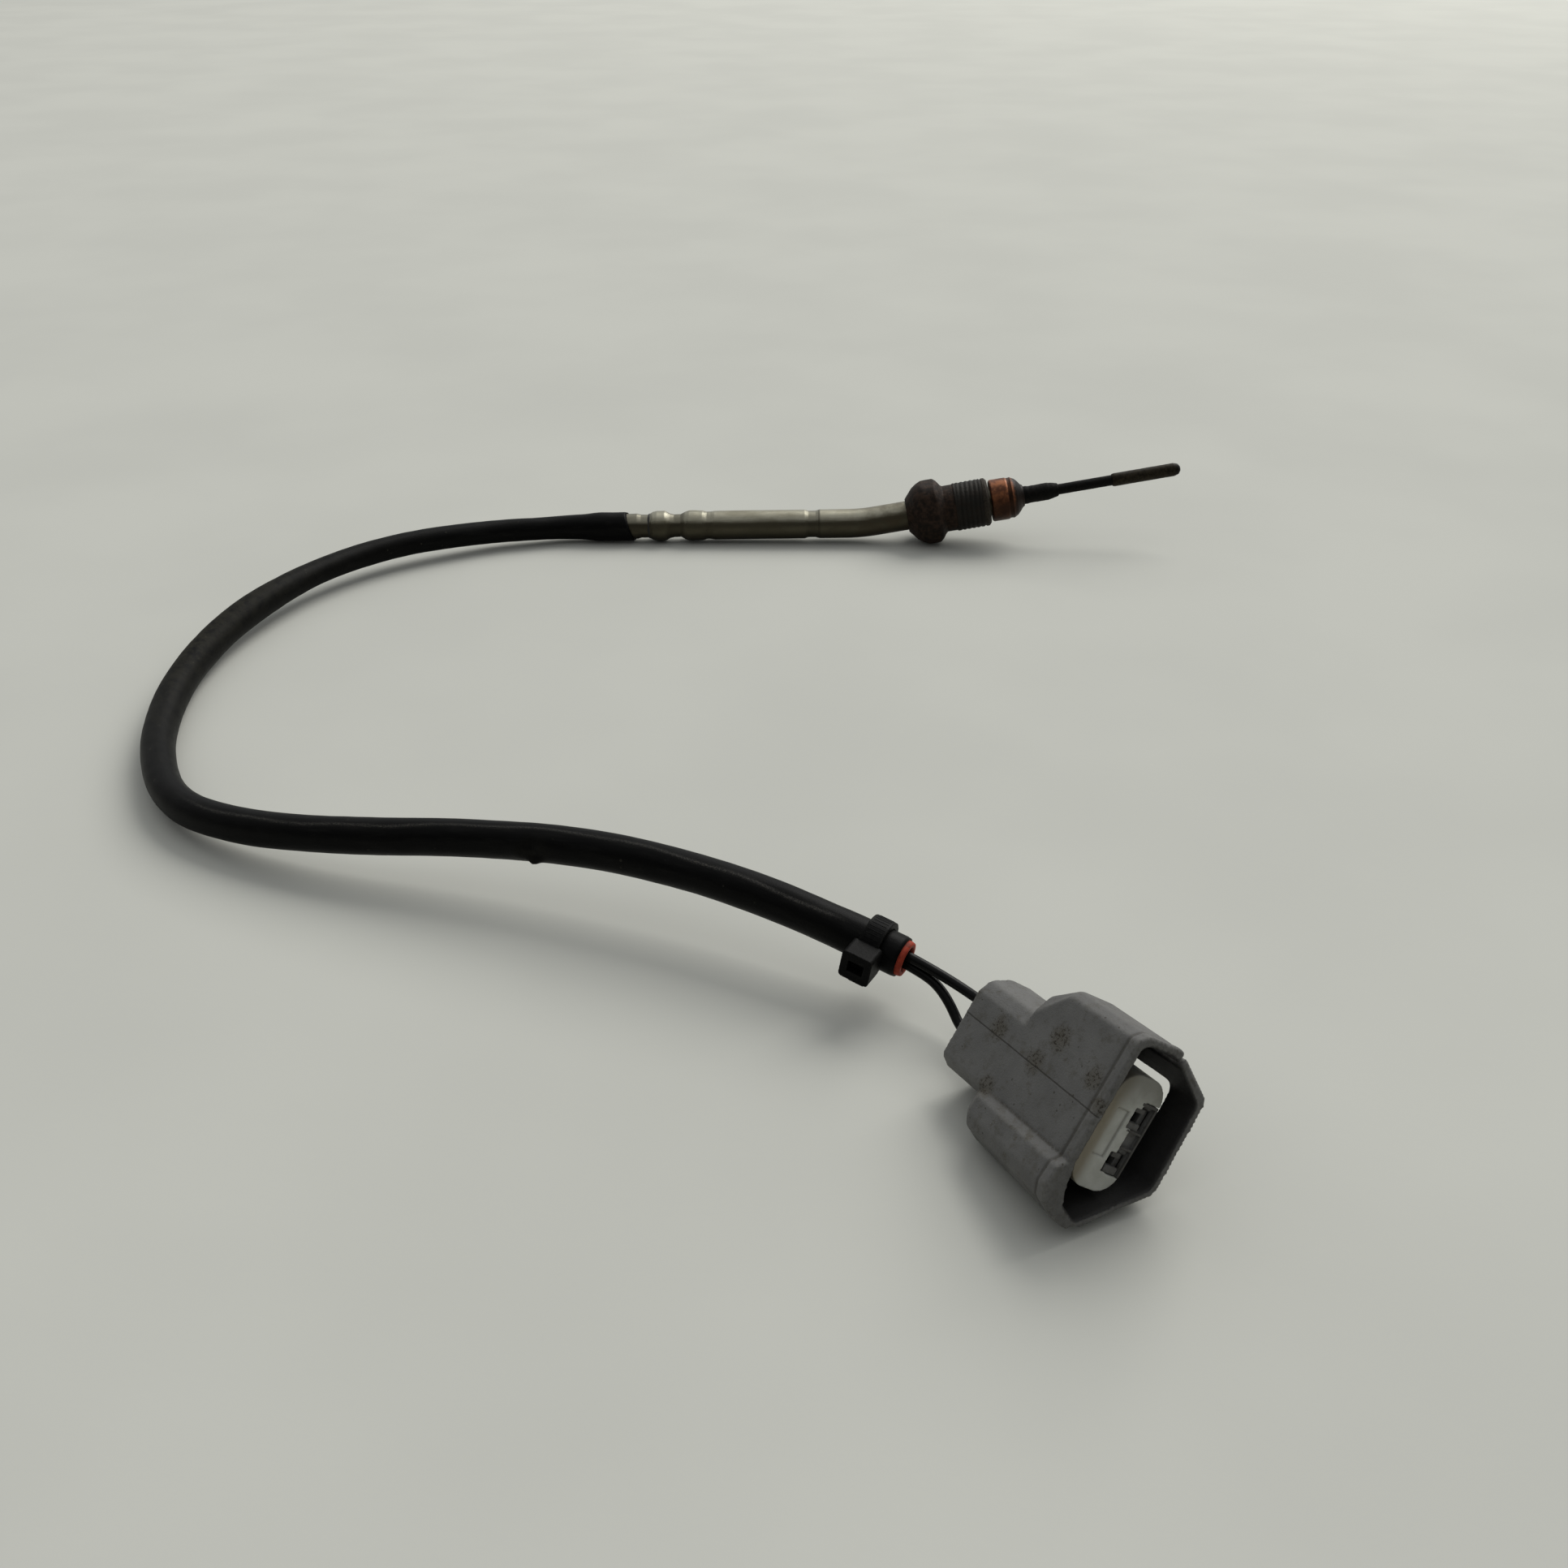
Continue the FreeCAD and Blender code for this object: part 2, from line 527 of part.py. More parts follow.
def lead_sleeve():
    """Black sleeve, opened out where it is pushed over the neck tube."""
    path, length = path_through(sleeve_points(), "sleeve", SLEEVE_GRIP + SLEEVE_FLARE_LENGTH)
    shape = swept(path, SLEEVE_DIAMETER).cut(swept(path, sleeve_bore))
    compare_volume("sleeve", shape, circle_area(SLEEVE_DIAMETER) - circle_area(sleeve_bore), length)
    grip_bore = TUBE_DIAMETER / 2 - REAR_CRIMP_DEPTH + LOOSE_FIT
    grip = grip_bore + SLEEVE_GRIP_WALL
    flare_start = tube_rear - SLEEVE_FLARE_LENGTH
    flare = turned_about_x([(flare_start, sleeve_bore / 2), (flare_start, SLEEVE_DIAMETER / 2),
                            (tube_rear, grip), (sleeve_mouth, grip), (sleeve_mouth, grip_bore),
                            (tube_rear, grip_bore)])
    flare.Placement = NECK
    return shape.fuse(flare).removeSplitter()


def inner_tube():
    """Soft inner tube whose end shows at the plug's end of the sleeve."""
    path, length = path_through(sleeve_points(), "inner tube", SLEEVE_GRIP + INNER_TUBE_BEHIND_NECK,
                                INNER_TUBE_SHOWN)
    shape = swept(path, inner_tube_diameter).cut(swept(path, inner_tube_bore))
    section = circle_area(inner_tube_diameter) - circle_area(inner_tube_bore)
    compare_volume("inner tube", shape, section, length)
    return shape


def in_plug(behind, across, deep):
    """Point of the part from a station behind the mouth, across and deep in the plug."""
    return PLUG.multVec(Vector(-behind, across, -deep))


def lead_wire(up, pole):
    """One lead wire from its crimp in the neck to its terminal in the plug."""
    lift = Vector(0, 0, up)
    leaves = Vector(*WIRE_LEAVES) + lift
    start = PROBE.multVec(Vector(CRIMP_START, 0, up))
    points = ([start, bend_corner + lift] + [p + lift for p in sleeve_points()[1:-1]]
              + [leaves, in_plug(PLUG_LENGTH + WIRE_APPROACH, pole, POLE_DEEP),
                 in_plug(TERMINAL_BARREL_REAR, pole, POLE_DEEP)])
    path, length = path_through(points, "wire")
    print("wire corners", [tuple(round(c, 1) for c in p) for p in points])
    shape = swept(path, WIRE_DIAMETER)
    compare_volume("wire", shape, circle_area(WIRE_DIAMETER), length)
    front = rod(0, CONDUCTOR_BARED, CONDUCTOR_DIAMETER)
    front.Placement = Placement(start, Rotation(Vector(0, 1, 0), -PROBE_RISE))
    bared_end = -TERMINAL_BARREL_REAR + CONDUCTOR_BARED
    rear = rod(-TERMINAL_BARREL_REAR, bared_end, CONDUCTOR_DIAMETER, pole, -POLE_DEEP)
    rear.Placement = PLUG
    return shape.fuse([front, rear]).removeSplitter()


def cable_tie():
    """Band, ratchet head and cut tail round the sleeve."""
    end = Vector(*SLEEVE_END)
    along = (end - Vector(*LEAD_ROUTE[-1])).normalize()
    side = Vector(0, 0, 1).cross(along).normalize()
    up = along.cross(side)
    centre = end - along * TIE_FROM_SLEEVE_END
    inner = SLEEVE_DIAMETER + 2 * RUBBER_FIT
    outer = inner + 2 * TIE_THICKNESS
    band = ring(-TIE_WIDTH / 2, TIE_WIDTH / 2, outer, inner)
    head_end = -inner / 2 - TIE_HEAD_DEEP
    head = block(-TIE_HEAD_ALONG / 2, TIE_HEAD_ALONG / 2, head_end, -inner / 2,
                 -TIE_HEAD_TALL / 2, TIE_HEAD_TALL / 2)
    head = head.makeFillet(TIE_HEAD_ROUND, [e for e in head.Edges if abs(e.tangentAt(0).y) > 0.9])
    slot_start = -inner / 2 - TIE_THICKNESS
    half_slot = TIE_WIDTH / 2 - TIE_SLOT_MARGIN
    slot_floor = slot_start - TIE_THICKNESS / 2
    slot = block(-half_slot, half_slot, head_end - 1, slot_floor, -TIE_SLOT_TALL / 2, TIE_SLOT_TALL / 2)
    stub = block(-half_slot, half_slot, slot_start - TIE_THICKNESS, slot_start,
                 -TIE_HEAD_TALL / 2 - TIE_STUB_LENGTH, 0)
    clear = rod(-TIE_HEAD_ALONG, TIE_HEAD_ALONG, inner)
    shape = band.fuse([head.cut(slot), stub]).cut(clear).removeSplitter()
    turn = Matrix(along.x, side.x, up.x, centre.x, along.y, side.y, up.y, centre.y,
                  along.z, side.z, up.z, centre.z, 0, 0, 0, 1)
    shape.Placement = Placement(turn)
    return shape


def tower_outline(shrink=0.0):
    return [(TOWER_LEFT + shrink, TOWER_TOP + shrink), (TOWER_RIGHT - shrink, TOWER_TOP + shrink),
            (TOWER_RIGHT - shrink, TOWER_BOTTOM - shrink), (TOWER_LEFT + shrink, TOWER_BOTTOM - shrink)]


def insert_outline(grow, below):
    """The grey core that stands between the arms of the holder, grown by a fit and drawn out below."""
    return [(INSERT_LEFT - grow, INSERT_TOP - grow), (INSERT_RIGHT + grow, INSERT_TOP - grow),
            (INSERT_RIGHT + grow, TOWER_BOTTOM + below), (INSERT_LEFT - grow, TOWER_BOTTOM + below)]


def pole_openings(front, rear):
    """Rectangular ways in at the front for the mating pins."""
    middle = POLE_DEEP + POLE_OPENING_DROP
    return [block(-rear, -front, pole - POLE_OPENING_WIDE / 2, pole + POLE_OPENING_WIDE / 2,
                  -middle - POLE_OPENING_TALL / 2, -middle + POLE_OPENING_TALL / 2) for pole in poles]


def connector_housing():
    """Grey moulded housing: rear block, flaring shroud, side rail and inner tower."""
    rear_block = prism(REAR_BLOCK_FRONT, PLUG_LENGTH, REAR_BLOCK_OUTLINE, REAR_BLOCK_ROUNDS)
    shoulder = loft([(SHOULDER_REAR, SHOULDER_OUTLINE), (SHOULDER_FRONT, BODY_OUTLINE)], BODY_ROUNDS)
    shroud = loft([(SHOULDER_FRONT, BODY_OUTLINE), (0, MOUTH_OUTLINE)], BODY_ROUNDS)
    heel = RAIL_LENGTH - RAIL_NOSE
    rail = loft([(heel, RAIL_HEEL_OUTLINE), (0, RAIL_OUTLINE)], RAIL_ROUNDS)
    nose = loft([(RAIL_LENGTH, RAIL_REAR_OUTLINE), (heel, RAIL_HEEL_OUTLINE)], RAIL_ROUNDS)
    body = rear_block.fuse([shoulder, shroud, rail, nose]).removeSplitter()
    bore = loft([(SHROUD_DEPTH, BORE_FLOOR_OUTLINE), (0, BORE_OUTLINE)], BORE_ROUNDS)
    body = body.cut(bore.fuse(prism(-1, 0, BORE_OUTLINE, BORE_ROUNDS)))
    tower = prism(TOWER_FRONT, SHROUD_DEPTH + 1, tower_outline(), [TOWER_ROUND] * 4)
    insert = prism(INSERT_FRONT, TOWER_FRONT + 1, insert_outline(0, 0), [INSERT_ROUND] * 4)
    body = body.fuse([tower, insert]).removeSplitter()
    cuts = pole_openings(INSERT_FRONT - 1, TOWER_FRONT + 1)
    cuts.append(block(-WINDOW_FRONT - WINDOW_LENGTH, -WINDOW_FRONT, *limits_of(WINDOW_OUTLINE)))
    cuts.append(block(-SLIT_LENGTH, 1, *limits_of(SLIT_OUTLINE)))
    half_wide = CAVITY_WIDE / 2
    for pole in poles:
        cuts.append(block(-CAVITY_REAR, -TOWER_FRONT + 1, pole - half_wide, pole + half_wide,
                          -POLE_DEEP - half_wide, -POLE_DEEP + half_wide))
        cuts.append(rod(-PLUG_LENGTH - 1, -CAVITY_REAR, SEAL_POCKET_DIAMETER, pole, -POLE_DEEP))
    return body.cut(cuts)


def limits_of(outline):
    """Lowest and highest Y and Z of a rectangle given as (across, deep) corners."""
    across = [p[0] for p in outline]
    deep = [p[1] for p in outline]
    return min(across), max(across), -max(deep), -min(deep)


def front_holder():
    """White holder that snaps on the tower and locks the terminals."""
    body = prism(HOLDER_FRONT, TOWER_FRONT, tower_outline(), [TOWER_ROUND] * 4)
    gap = prism(0, TOWER_FRONT + 1, insert_outline(LOOSE_FIT, 2), [INSERT_ROUND] * 4)
    body = body.cut(gap)
    mark_middle = -(TOWER_TOP + INSERT_TOP) / 2
    mark = block(-HOLDER_FRONT - HOLDER_MARK_DEPTH, 0, INSERT_LEFT + HOLDER_MARK_INSET,
                 INSERT_RIGHT - HOLDER_MARK_INSET, mark_middle - HOLDER_MARK_WIDE / 2,
                 mark_middle + HOLDER_MARK_WIDE / 2)
    return body.cut([mark] + pole_openings(0, TOWER_FRONT + 1))


def ring_seal():
    """Rubber ring round the tower."""
    outer = prism(RING_SEAL_FRONT, RING_SEAL_FRONT + RING_SEAL_LENGTH, tower_outline(-RING_SEAL_THICKNESS),
                  [TOWER_ROUND + RING_SEAL_THICKNESS] * 4)
    inner = prism(0, SHROUD_DEPTH + 1, tower_outline(-RUBBER_FIT), [TOWER_ROUND + RUBBER_FIT] * 4)
    return outer.cut(inner)


def wire_seal(pole):
    """Ribbed rubber seal round one wire in the rear of the housing."""
    start = -PLUG_LENGTH + SEAL_INSET
    rib_radius = SEAL_POCKET_DIAMETER / 2 - RUBBER_FIT
    root_radius = rib_radius - SEAL_RIB_HEIGHT
    pitch = SEAL_LENGTH / (2 * SEAL_RIBS)
    outline = [(start, 0)]
    for i in range(SEAL_RIBS):
        rib_start = start + 2 * i * pitch
        outline += [(rib_start, rib_radius), (rib_start + pitch, rib_radius),
                    (rib_start + pitch, root_radius), (rib_start + 2 * pitch, root_radius)]
    outline.append((start + SEAL_LENGTH, 0))
    hole = rod(start - 1, start + SEAL_LENGTH + 1, WIRE_DIAMETER + 2 * RUBBER_FIT)
    seal = turned_about_x(outline).cut(hole)
    seal.translate(Vector(0, pole, -POLE_DEEP))
    return seal


def terminal(pole):
    """Box terminal with the barrel that is crimped on the conductor."""
    box = block(-TERMINAL_BOX_REAR, -TERMINAL_FRONT, -TERMINAL_BOX / 2, TERMINAL_BOX / 2,
                -TERMINAL_BOX / 2, TERMINAL_BOX / 2)
    inside = TERMINAL_BOX / 2 - TERMINAL_WALL
    box = box.cut(block(-TERMINAL_BOX_REAR + 1, 0, -inside, inside, -inside, inside))
    barrel = rod(-TERMINAL_BARREL_REAR, -TERMINAL_BOX_REAR, TERMINAL_BARREL_DIAMETER)
    hole_end = -TERMINAL_BARREL_REAR + CONDUCTOR_BARED
    hole = rod(-TERMINAL_BARREL_REAR - 1, hole_end, CONDUCTOR_DIAMETER + 2 * METAL_FIT)
    shape = box.fuse(barrel).removeSplitter().cut(hole)
    shape.translate(Vector(0, pole, -POLE_DEEP))
    return shape


def placed(shape, place):
    shape.Placement = place.multiply(shape.Placement)
    return shape


parts = {
    "gland_nut": placed(gland_nut(), PROBE),
    "steel_tube": steel_tube(),
    "tube_grommet": tube_grommet(),
    "seat_collar": placed(seat_collar(), PROBE),
    "support_sheath": placed(support_sheath(), PROBE),
    "mineral_sheath": placed(mineral_sheath(), PROBE),
    "sheath_core": placed(sheath_core(), PROBE),
    "tip_cap": placed(tip_cap(), PROBE),
    "sensing_element": placed(sensing_element(), PROBE),
    "tip_cement": placed(tip_cement(), PROBE),
    "splice_insulator": placed(splice_insulator(), PROBE),
    "lead_sleeve": lead_sleeve(),
    "inner_tube": inner_tube(),
    "cable_tie": cable_tie(),
    "connector_housing": placed(connector_housing(), PLUG),
    "front_holder": placed(front_holder(), PLUG),
    "ring_seal": placed(ring_seal(), PLUG),
}
for number, (up, pole) in enumerate(zip(wire_offsets, poles), start=1):
    parts[f"sheath_wire_{number}"] = placed(sheath_wire(up), PROBE)
    parts[f"splice_crimp_{number}"] = placed(splice_crimp(up), PROBE)
    parts[f"lead_wire_{number}"] = lead_wire(up, pole)
    parts[f"wire_seal_{number}"] = placed(wire_seal(pole), PLUG)
    parts[f"terminal_{number}"] = placed(terminal(pole), PLUG)

os.makedirs("parts", exist_ok=True)
for name, shape in parts.items():
    box = shape.optimalBoundingBox()
    print(name, "solids", len(shape.Solids), "valid", shape.isValid(), "volume", round(shape.Volume, 1),
          "x", round(box.XMin, 2), round(box.XMax, 2), "y", round(box.YMin, 2), round(box.YMax, 2),
          "z", round(box.ZMin, 2), round(box.ZMax, 2))
    shape.exportStep(f"parts/{name}.step")
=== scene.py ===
"""Exhaust gas temperature sensor with its sleeved lead and plug, dressed for a picture."""
import math

import bpy
import numpy as np
from mathutils import Matrix, Vector
from mathutils.bvhtree import BVHTree


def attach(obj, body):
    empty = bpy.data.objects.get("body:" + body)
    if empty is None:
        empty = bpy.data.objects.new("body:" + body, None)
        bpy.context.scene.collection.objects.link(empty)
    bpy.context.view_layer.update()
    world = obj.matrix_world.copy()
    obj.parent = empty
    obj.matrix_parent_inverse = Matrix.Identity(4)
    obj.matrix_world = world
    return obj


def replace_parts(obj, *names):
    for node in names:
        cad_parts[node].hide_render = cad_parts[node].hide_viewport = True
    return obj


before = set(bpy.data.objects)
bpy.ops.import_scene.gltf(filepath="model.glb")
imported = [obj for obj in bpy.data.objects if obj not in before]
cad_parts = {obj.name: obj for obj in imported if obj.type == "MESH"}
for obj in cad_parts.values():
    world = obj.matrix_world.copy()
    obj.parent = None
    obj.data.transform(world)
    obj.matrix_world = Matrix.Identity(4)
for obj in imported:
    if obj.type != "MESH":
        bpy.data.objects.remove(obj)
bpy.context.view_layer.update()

MM = 0.001
FULL_TURN = 2 * math.pi

# Places, in millimetres: where the nut's rear face and the neck's bend lie, and how both straights rise
NUT_PLACE = (5.7252, 0.0, 7.3344)
BEND_CORNER = (-6.5695, 0.0, 5.0779)
PROBE_RISE = 10.4
NECK_RISE = 0.8
PLUG_MOUTH = (15.05, -247.07, 20.20)
PLUG_HEADING, PLUG_RISE, PLUG_ROLL = -64.0, 10.0, 52.16

# Stations along the neck tube from the bend corner
TUBE_REAR = -72.020
BEND_REACH = 4.1986
BEND_RADIUS = 50.0
BEND_TO_NUT = 12.5

# Stations along the probe from the nut's rear face
COLLAR_START, COLLAR_END, DOME_END = 22.9, 29.1, 31.9
TUBE_FRONT, SUPPORT_END, CAP_START, TIP = 27.4, 41.4, 55.9, 74.1

# Lead route: corners of the sleeve's line, in millimetres
SLEEVE_ROUTE = [(-68.583, 0.0, 4.212), (-94.981, 0.0, 3.843),
                (-120.2, -11.0, 5.5), (-136.3, -22.3, 5.9), (-149.0, -38.5, 6.0), (-158.1, -59.5, 5.7),
                (-162.8, -82.0, 4.7), (-162.0, -105.0, 4.2), (-157.1, -126.0, 4.1), (-147.0, -145.8, 4.5),
                (-130.1, -156.2, 5.9), (-108.3, -162.9, 8.4), (-84.8, -167.3, 11.1), (-62.3, -173.6, 13.2),
                (-40.3, -182.4, 13.0), (-20.6, -193.7, 11.6), (-8.5, -200.5, 9.2)]
WIRE_LEAVES = (-5.9, -201.9, 8.7)
WIRE_ENDS = [[(4.48, -210.63, 7.6), (11.68, -225.23, 10.4)],
             [(-1.9, -206.2, 6.6), (1.08, -213.33, 2.1), (8.18, -227.93, 5.0)]]
WIRE_STARTS = [(3.63, 0.0, 7.68), (3.89, 0.0, 6.27)]

# Sleeve, orange tube and wires: radii, and stations from the sleeve's end on the neck
SLEEVE_RADIUS = 3.5
SLEEVE_BORE = 3.1
SLEEVE_GRIP_RADIUS = 3.86
SLEEVE_GRIP_BORE = 3.5
SLEEVE_SLIMMED = 0.45
STRAIGHT_ON_NECK = 14.5
INNER_TUBE_RADIUS = 3.05
INNER_TUBE_BORE = 2.2
INNER_TUBE_FROM = 10.3
WIRE_RADIUS = 0.85
WIRE_OFFSET = 0.86


def place_of(origin, *turns):
    """Frame at a point, turned by (degrees, axis) pairs, that takes millimetres to metres."""
    matrix = Matrix.Translation(Vector(origin) * MM)
    for degrees, axis in turns:
        matrix = matrix @ Matrix.Rotation(math.radians(degrees), 4, axis)
    return matrix @ Matrix.Scale(MM, 4)


PROBE = place_of(NUT_PLACE, (-PROBE_RISE, "Y"))
PLUG = place_of(PLUG_MOUTH, (PLUG_HEADING, "Z"), (-PLUG_RISE, "Y"), (PLUG_ROLL, "X"))


# Objects and nodes

def linked(name, data):
    """Object made from its data and put in the scene."""
    made = bpy.data.objects.new(name, data)
    bpy.context.collection.objects.link(made)
    return made


def connect(tree, value, socket):
    """Link a field or a socket to a socket, or set the socket's value."""
    if isinstance(value, Field):
        value = value.socket
    if isinstance(value, bpy.types.NodeSocket):
        tree.links.new(value, socket)
    else:
        socket.default_value = tuple(value) + (1.0,) if socket.type == "RGBA" else value


def put_node(tree, kind, settings=None, values=None, output=None):
    """One output of a new node, whose settings are set before the values or links of its sockets."""
    made = tree.nodes.new(kind)
    for name, setting in (settings or {}).items():
        setattr(made, name, setting)
    for name, value in (values or {}).items():
        sockets = [s for s in made.inputs if s.enabled]
        socket = sockets[name] if isinstance(name, int) else next(s for s in sockets if s.name == name)
        connect(tree, value, socket)
    return next(s for s in made.outputs if s.enabled and (output is None or s.name == output))


# Camera and light

SENSOR_WIDTH = 36.0
FOCAL_LENGTH, PICTURE_WIDTH = 1935, 1932
CAMERA_PLACE, CAMERA_PITCH = (-0.02784, -0.4055, 0.1654), 59.0
OBJECT_MIDDLE = (-0.03, -0.11, 0.0)
BACKDROP_LEVEL = 0.52


def add_camera():
    data = bpy.data.cameras.new("camera")
    data.sensor_width = SENSOR_WIDTH
    data.lens = SENSOR_WIDTH * FOCAL_LENGTH / PICTURE_WIDTH
    data.clip_start = 0.01
    camera = linked("camera", data)
    camera.location = CAMERA_PLACE
    camera.rotation_euler = (math.radians(CAMERA_PITCH), 0, 0)
    bpy.context.scene.camera = camera


def add_lamp(name, watts, size, azimuth, elevation, distance, colour):
    """Square lamp aimed at the middle of the object from a compass bearing."""
    data = bpy.data.lights.new(name, "AREA")
    data.energy = watts
    data.size = size
    data.color = colour
    lamp = linked(name, data)
    around, up = math.radians(azimuth), math.radians(elevation)
    towards = Vector((math.sin(around) * math.cos(up), math.cos(around) * math.cos(up), math.sin(up)))
    lamp.location = Vector(OBJECT_MIDDLE) + towards * distance
    lamp.rotation_euler = towards.to_track_quat("Z", "Y").to_euler()


def add_room():
    """Surrounding light, bright overhead and behind the object and dim in front, and an even backdrop."""
    world = bpy.data.worlds.new("room")
    world.use_nodes = True
    tree = world.node_tree
    direction = put_node(tree, "ShaderNodeTexCoord", output="Generated")
    aim = put_node(tree, "ShaderNodeVectorMath", {"operation": "DOT_PRODUCT"},
                   {0: direction, 1: (0.0, 0.5, 0.866)}, "Value")
    level = put_node(tree, "ShaderNodeMapRange", None,
                     {"Value": aim, "From Min": -0.1, "From Max": 0.9, "To Min": 0.10, "To Max": 0.75})
    seen = put_node(tree, "ShaderNodeLightPath", output="Is Camera Ray")
    strength = put_node(tree, "ShaderNodeMix", None, {"Factor": seen, "A": level, "B": BACKDROP_LEVEL})
    background = tree.nodes["Background"].inputs
    connect(tree, strength, background["Strength"])
    connect(tree, (0.97, 0.99, 1.0), background["Color"])
    bpy.context.scene.world = world


# Shader maths

class Field:
    """A number or colour that varies over a surface."""

    def __init__(self, finish, socket):
        self.finish = finish
        self.socket = socket

    def maths(self, operation, *values):
        return self.finish.node("ShaderNodeMath", {"operation": operation}, dict(enumerate(values)))

    def __add__(self, other):
        return self.maths("ADD", self, other)

    def __sub__(self, other):
        return self.maths("SUBTRACT", self, other)

    def __rsub__(self, other):
        return self.maths("SUBTRACT", other, self)

    def __mul__(self, other):
        return self.maths("MULTIPLY", self, other)

    __radd__ = __add__
    __rmul__ = __mul__

    def absolute(self):
        return self.maths("ABSOLUTE", self)

    def within(self, low, high):
        """Smooth step from 0 at low to 1 at high, which may be the lower of the two."""
        flipped = low > high
        low, high = sorted((low, high))
        step = self.finish.node("ShaderNodeMapRange", {"interpolation_type": "SMOOTHSTEP"},
                                {"Value": self, "From Min": low, "From Max": high})
        return 1 - step if flipped else step


finishes = {}


class Finish:
    """One material, kept in finishes: its shader, coordinates in millimetres, colour and driving nodes."""

    def __init__(self, name, origin=(0, 0, 0), turn=(0, 0, 0), **fixed):
        finishes[name] = bpy.data.materials.new(name)
        finishes[name].use_nodes = True
        self.tree = finishes[name].node_tree
        self.shader = self.tree.nodes["Principled BSDF"]
        for socket, value in fixed.items():
            self.shader_socket(socket).default_value = value
        where = self.node("ShaderNodeTexCoord", output="Object")
        self.place = self.node("ShaderNodeMapping", {"vector_type": "TEXTURE"},
                               {"Vector": where, "Location": [c * MM for c in origin],
                                "Rotation": turn, "Scale": (MM, MM, MM)})
        self.x, self.y, self.z = [self.node("ShaderNodeSeparateXYZ", None, {"Vector": self.place}, axis)
                                  for axis in "XYZ"]

    def shader_socket(self, name):
        return next(s for s in self.shader.inputs if s.name.lower() == name.replace("_", " "))

    def node(self, kind, settings=None, values=None, output=None):
        return Field(self, put_node(self.tree, kind, settings, values, output))

    def scaled(self, size, stretch=(1, 1, 1), shift=(0, 0, 0), of=None):
        """Coordinates counted in sizes, from the finish's place or from another vector."""
        return self.node("ShaderNodeVectorMath", {"operation": "MULTIPLY_ADD"},
                         {0: of or self.place, 1: [1 / (size * s) for s in stretch], 2: shift})

    def noise(self, size, detail=3.0, rough=0.55, **options):
        """Noise from 0 to 1 whose blotches are about size millimetres across."""
        where = self.scaled(size, **options)
        return self.node("ShaderNodeTexNoise", None,
                         {"Vector": where, "Scale": 1.0, "Detail": detail, "Roughness": rough}, "Fac")

    def cells(self, size, **options):
        """Distance to the nearest of many scattered points, in parts of size."""
        where = self.scaled(size, **options)
        return self.node("ShaderNodeTexVoronoi", None, {"Vector": where, "Scale": 1.0}, "Distance")

    def attribute(self, name, output="Fac"):
        return self.node("ShaderNodeAttribute", {"attribute_name": name}, None, output)

    def mix(self, factor, first, second):
        return self.node("ShaderNodeMix", {"data_type": "RGBA"}, {"Factor": factor, "A": first, "B": second})

    def layer(self, mask, tint):
        """Lay another colour over the finish's own where a mask is 1."""
        self.colour = self.mix(mask, self.colour, tint)

    def facing(self, axis="Z"):
        """How far the surface faces an axis, from -1 to 1."""
        normal = self.node("ShaderNodeNewGeometry", None, None, "Normal")
        return self.node("ShaderNodeSeparateXYZ", None, {"Vector": normal}, axis)

    def paint(self, **fields):
        """Drive the shader by the finish's colour and by other fields."""
        for name, value in {"base_color": self.colour, **fields}.items():
            connect(self.tree, value, self.shader_socket(name))

    def bump(self, height, depth, strength=1.0):
        """Bump from a height field, its full range being depth millimetres."""
        normal = self.node("ShaderNodeBump", None,
                           {"Strength": strength, "Distance": depth * MM, "Height": height})
        connect(self.tree, normal, self.shader.inputs["Normal"])


PROBE_FRAME = {"origin": NUT_PLACE, "turn": (0, math.radians(-PROBE_RISE), 0)}
NECK_FRAME = {"origin": BEND_CORNER, "turn": (0, math.radians(-NECK_RISE), 0)}
PLUG_FRAME = {"origin": PLUG_MOUTH, "turn": tuple(PLUG.to_euler("XYZ"))}


# Finishes

def nut_steel_finish():
    finish = Finish("nut_steel", specular_ior_level=0.12, **PROBE_FRAME)
    rust = finish.noise(1.6, 5, 0.65).within(0.38, 0.66)
    fine = finish.noise(0.35, 4, 0.7)
    hexagon = finish.mix(rust, (0.0105, 0.0070, 0.0050), (0.034, 0.0200, 0.0130))
    outward = finish.node("ShaderNodeCombineXYZ", None, {"Y": finish.y, "Z": finish.z})
    radius = finish.node("ShaderNodeVectorMath", {"operation": "LENGTH"}, {0: outward}, "Value")
    crest = radius.within(6.18, 6.42)
    thread = finish.mix(crest, (0.0055, 0.0050, 0.0040), (0.0190, 0.0180, 0.0155))
    thread = finish.mix(rust * 0.30, thread, (0.024, 0.0150, 0.0100))
    band = finish.mix(fine.within(0.35, 0.7), (0.020, 0.017, 0.013), (0.055, 0.046, 0.036))
    on_thread = finish.x.within(12.9, 13.6)
    finish.colour = finish.mix(on_thread, hexagon, thread)
    finish.layer(finish.x.within(20.5, 20.9), band)
    polish = fine.within(0.55, 0.8)
    finish.paint(metallic=0.25 + 0.3 * crest * on_thread,
                 roughness=0.62 - 0.18 * polish)
    finish.bump(fine + 0.6 * rust, 0.07)


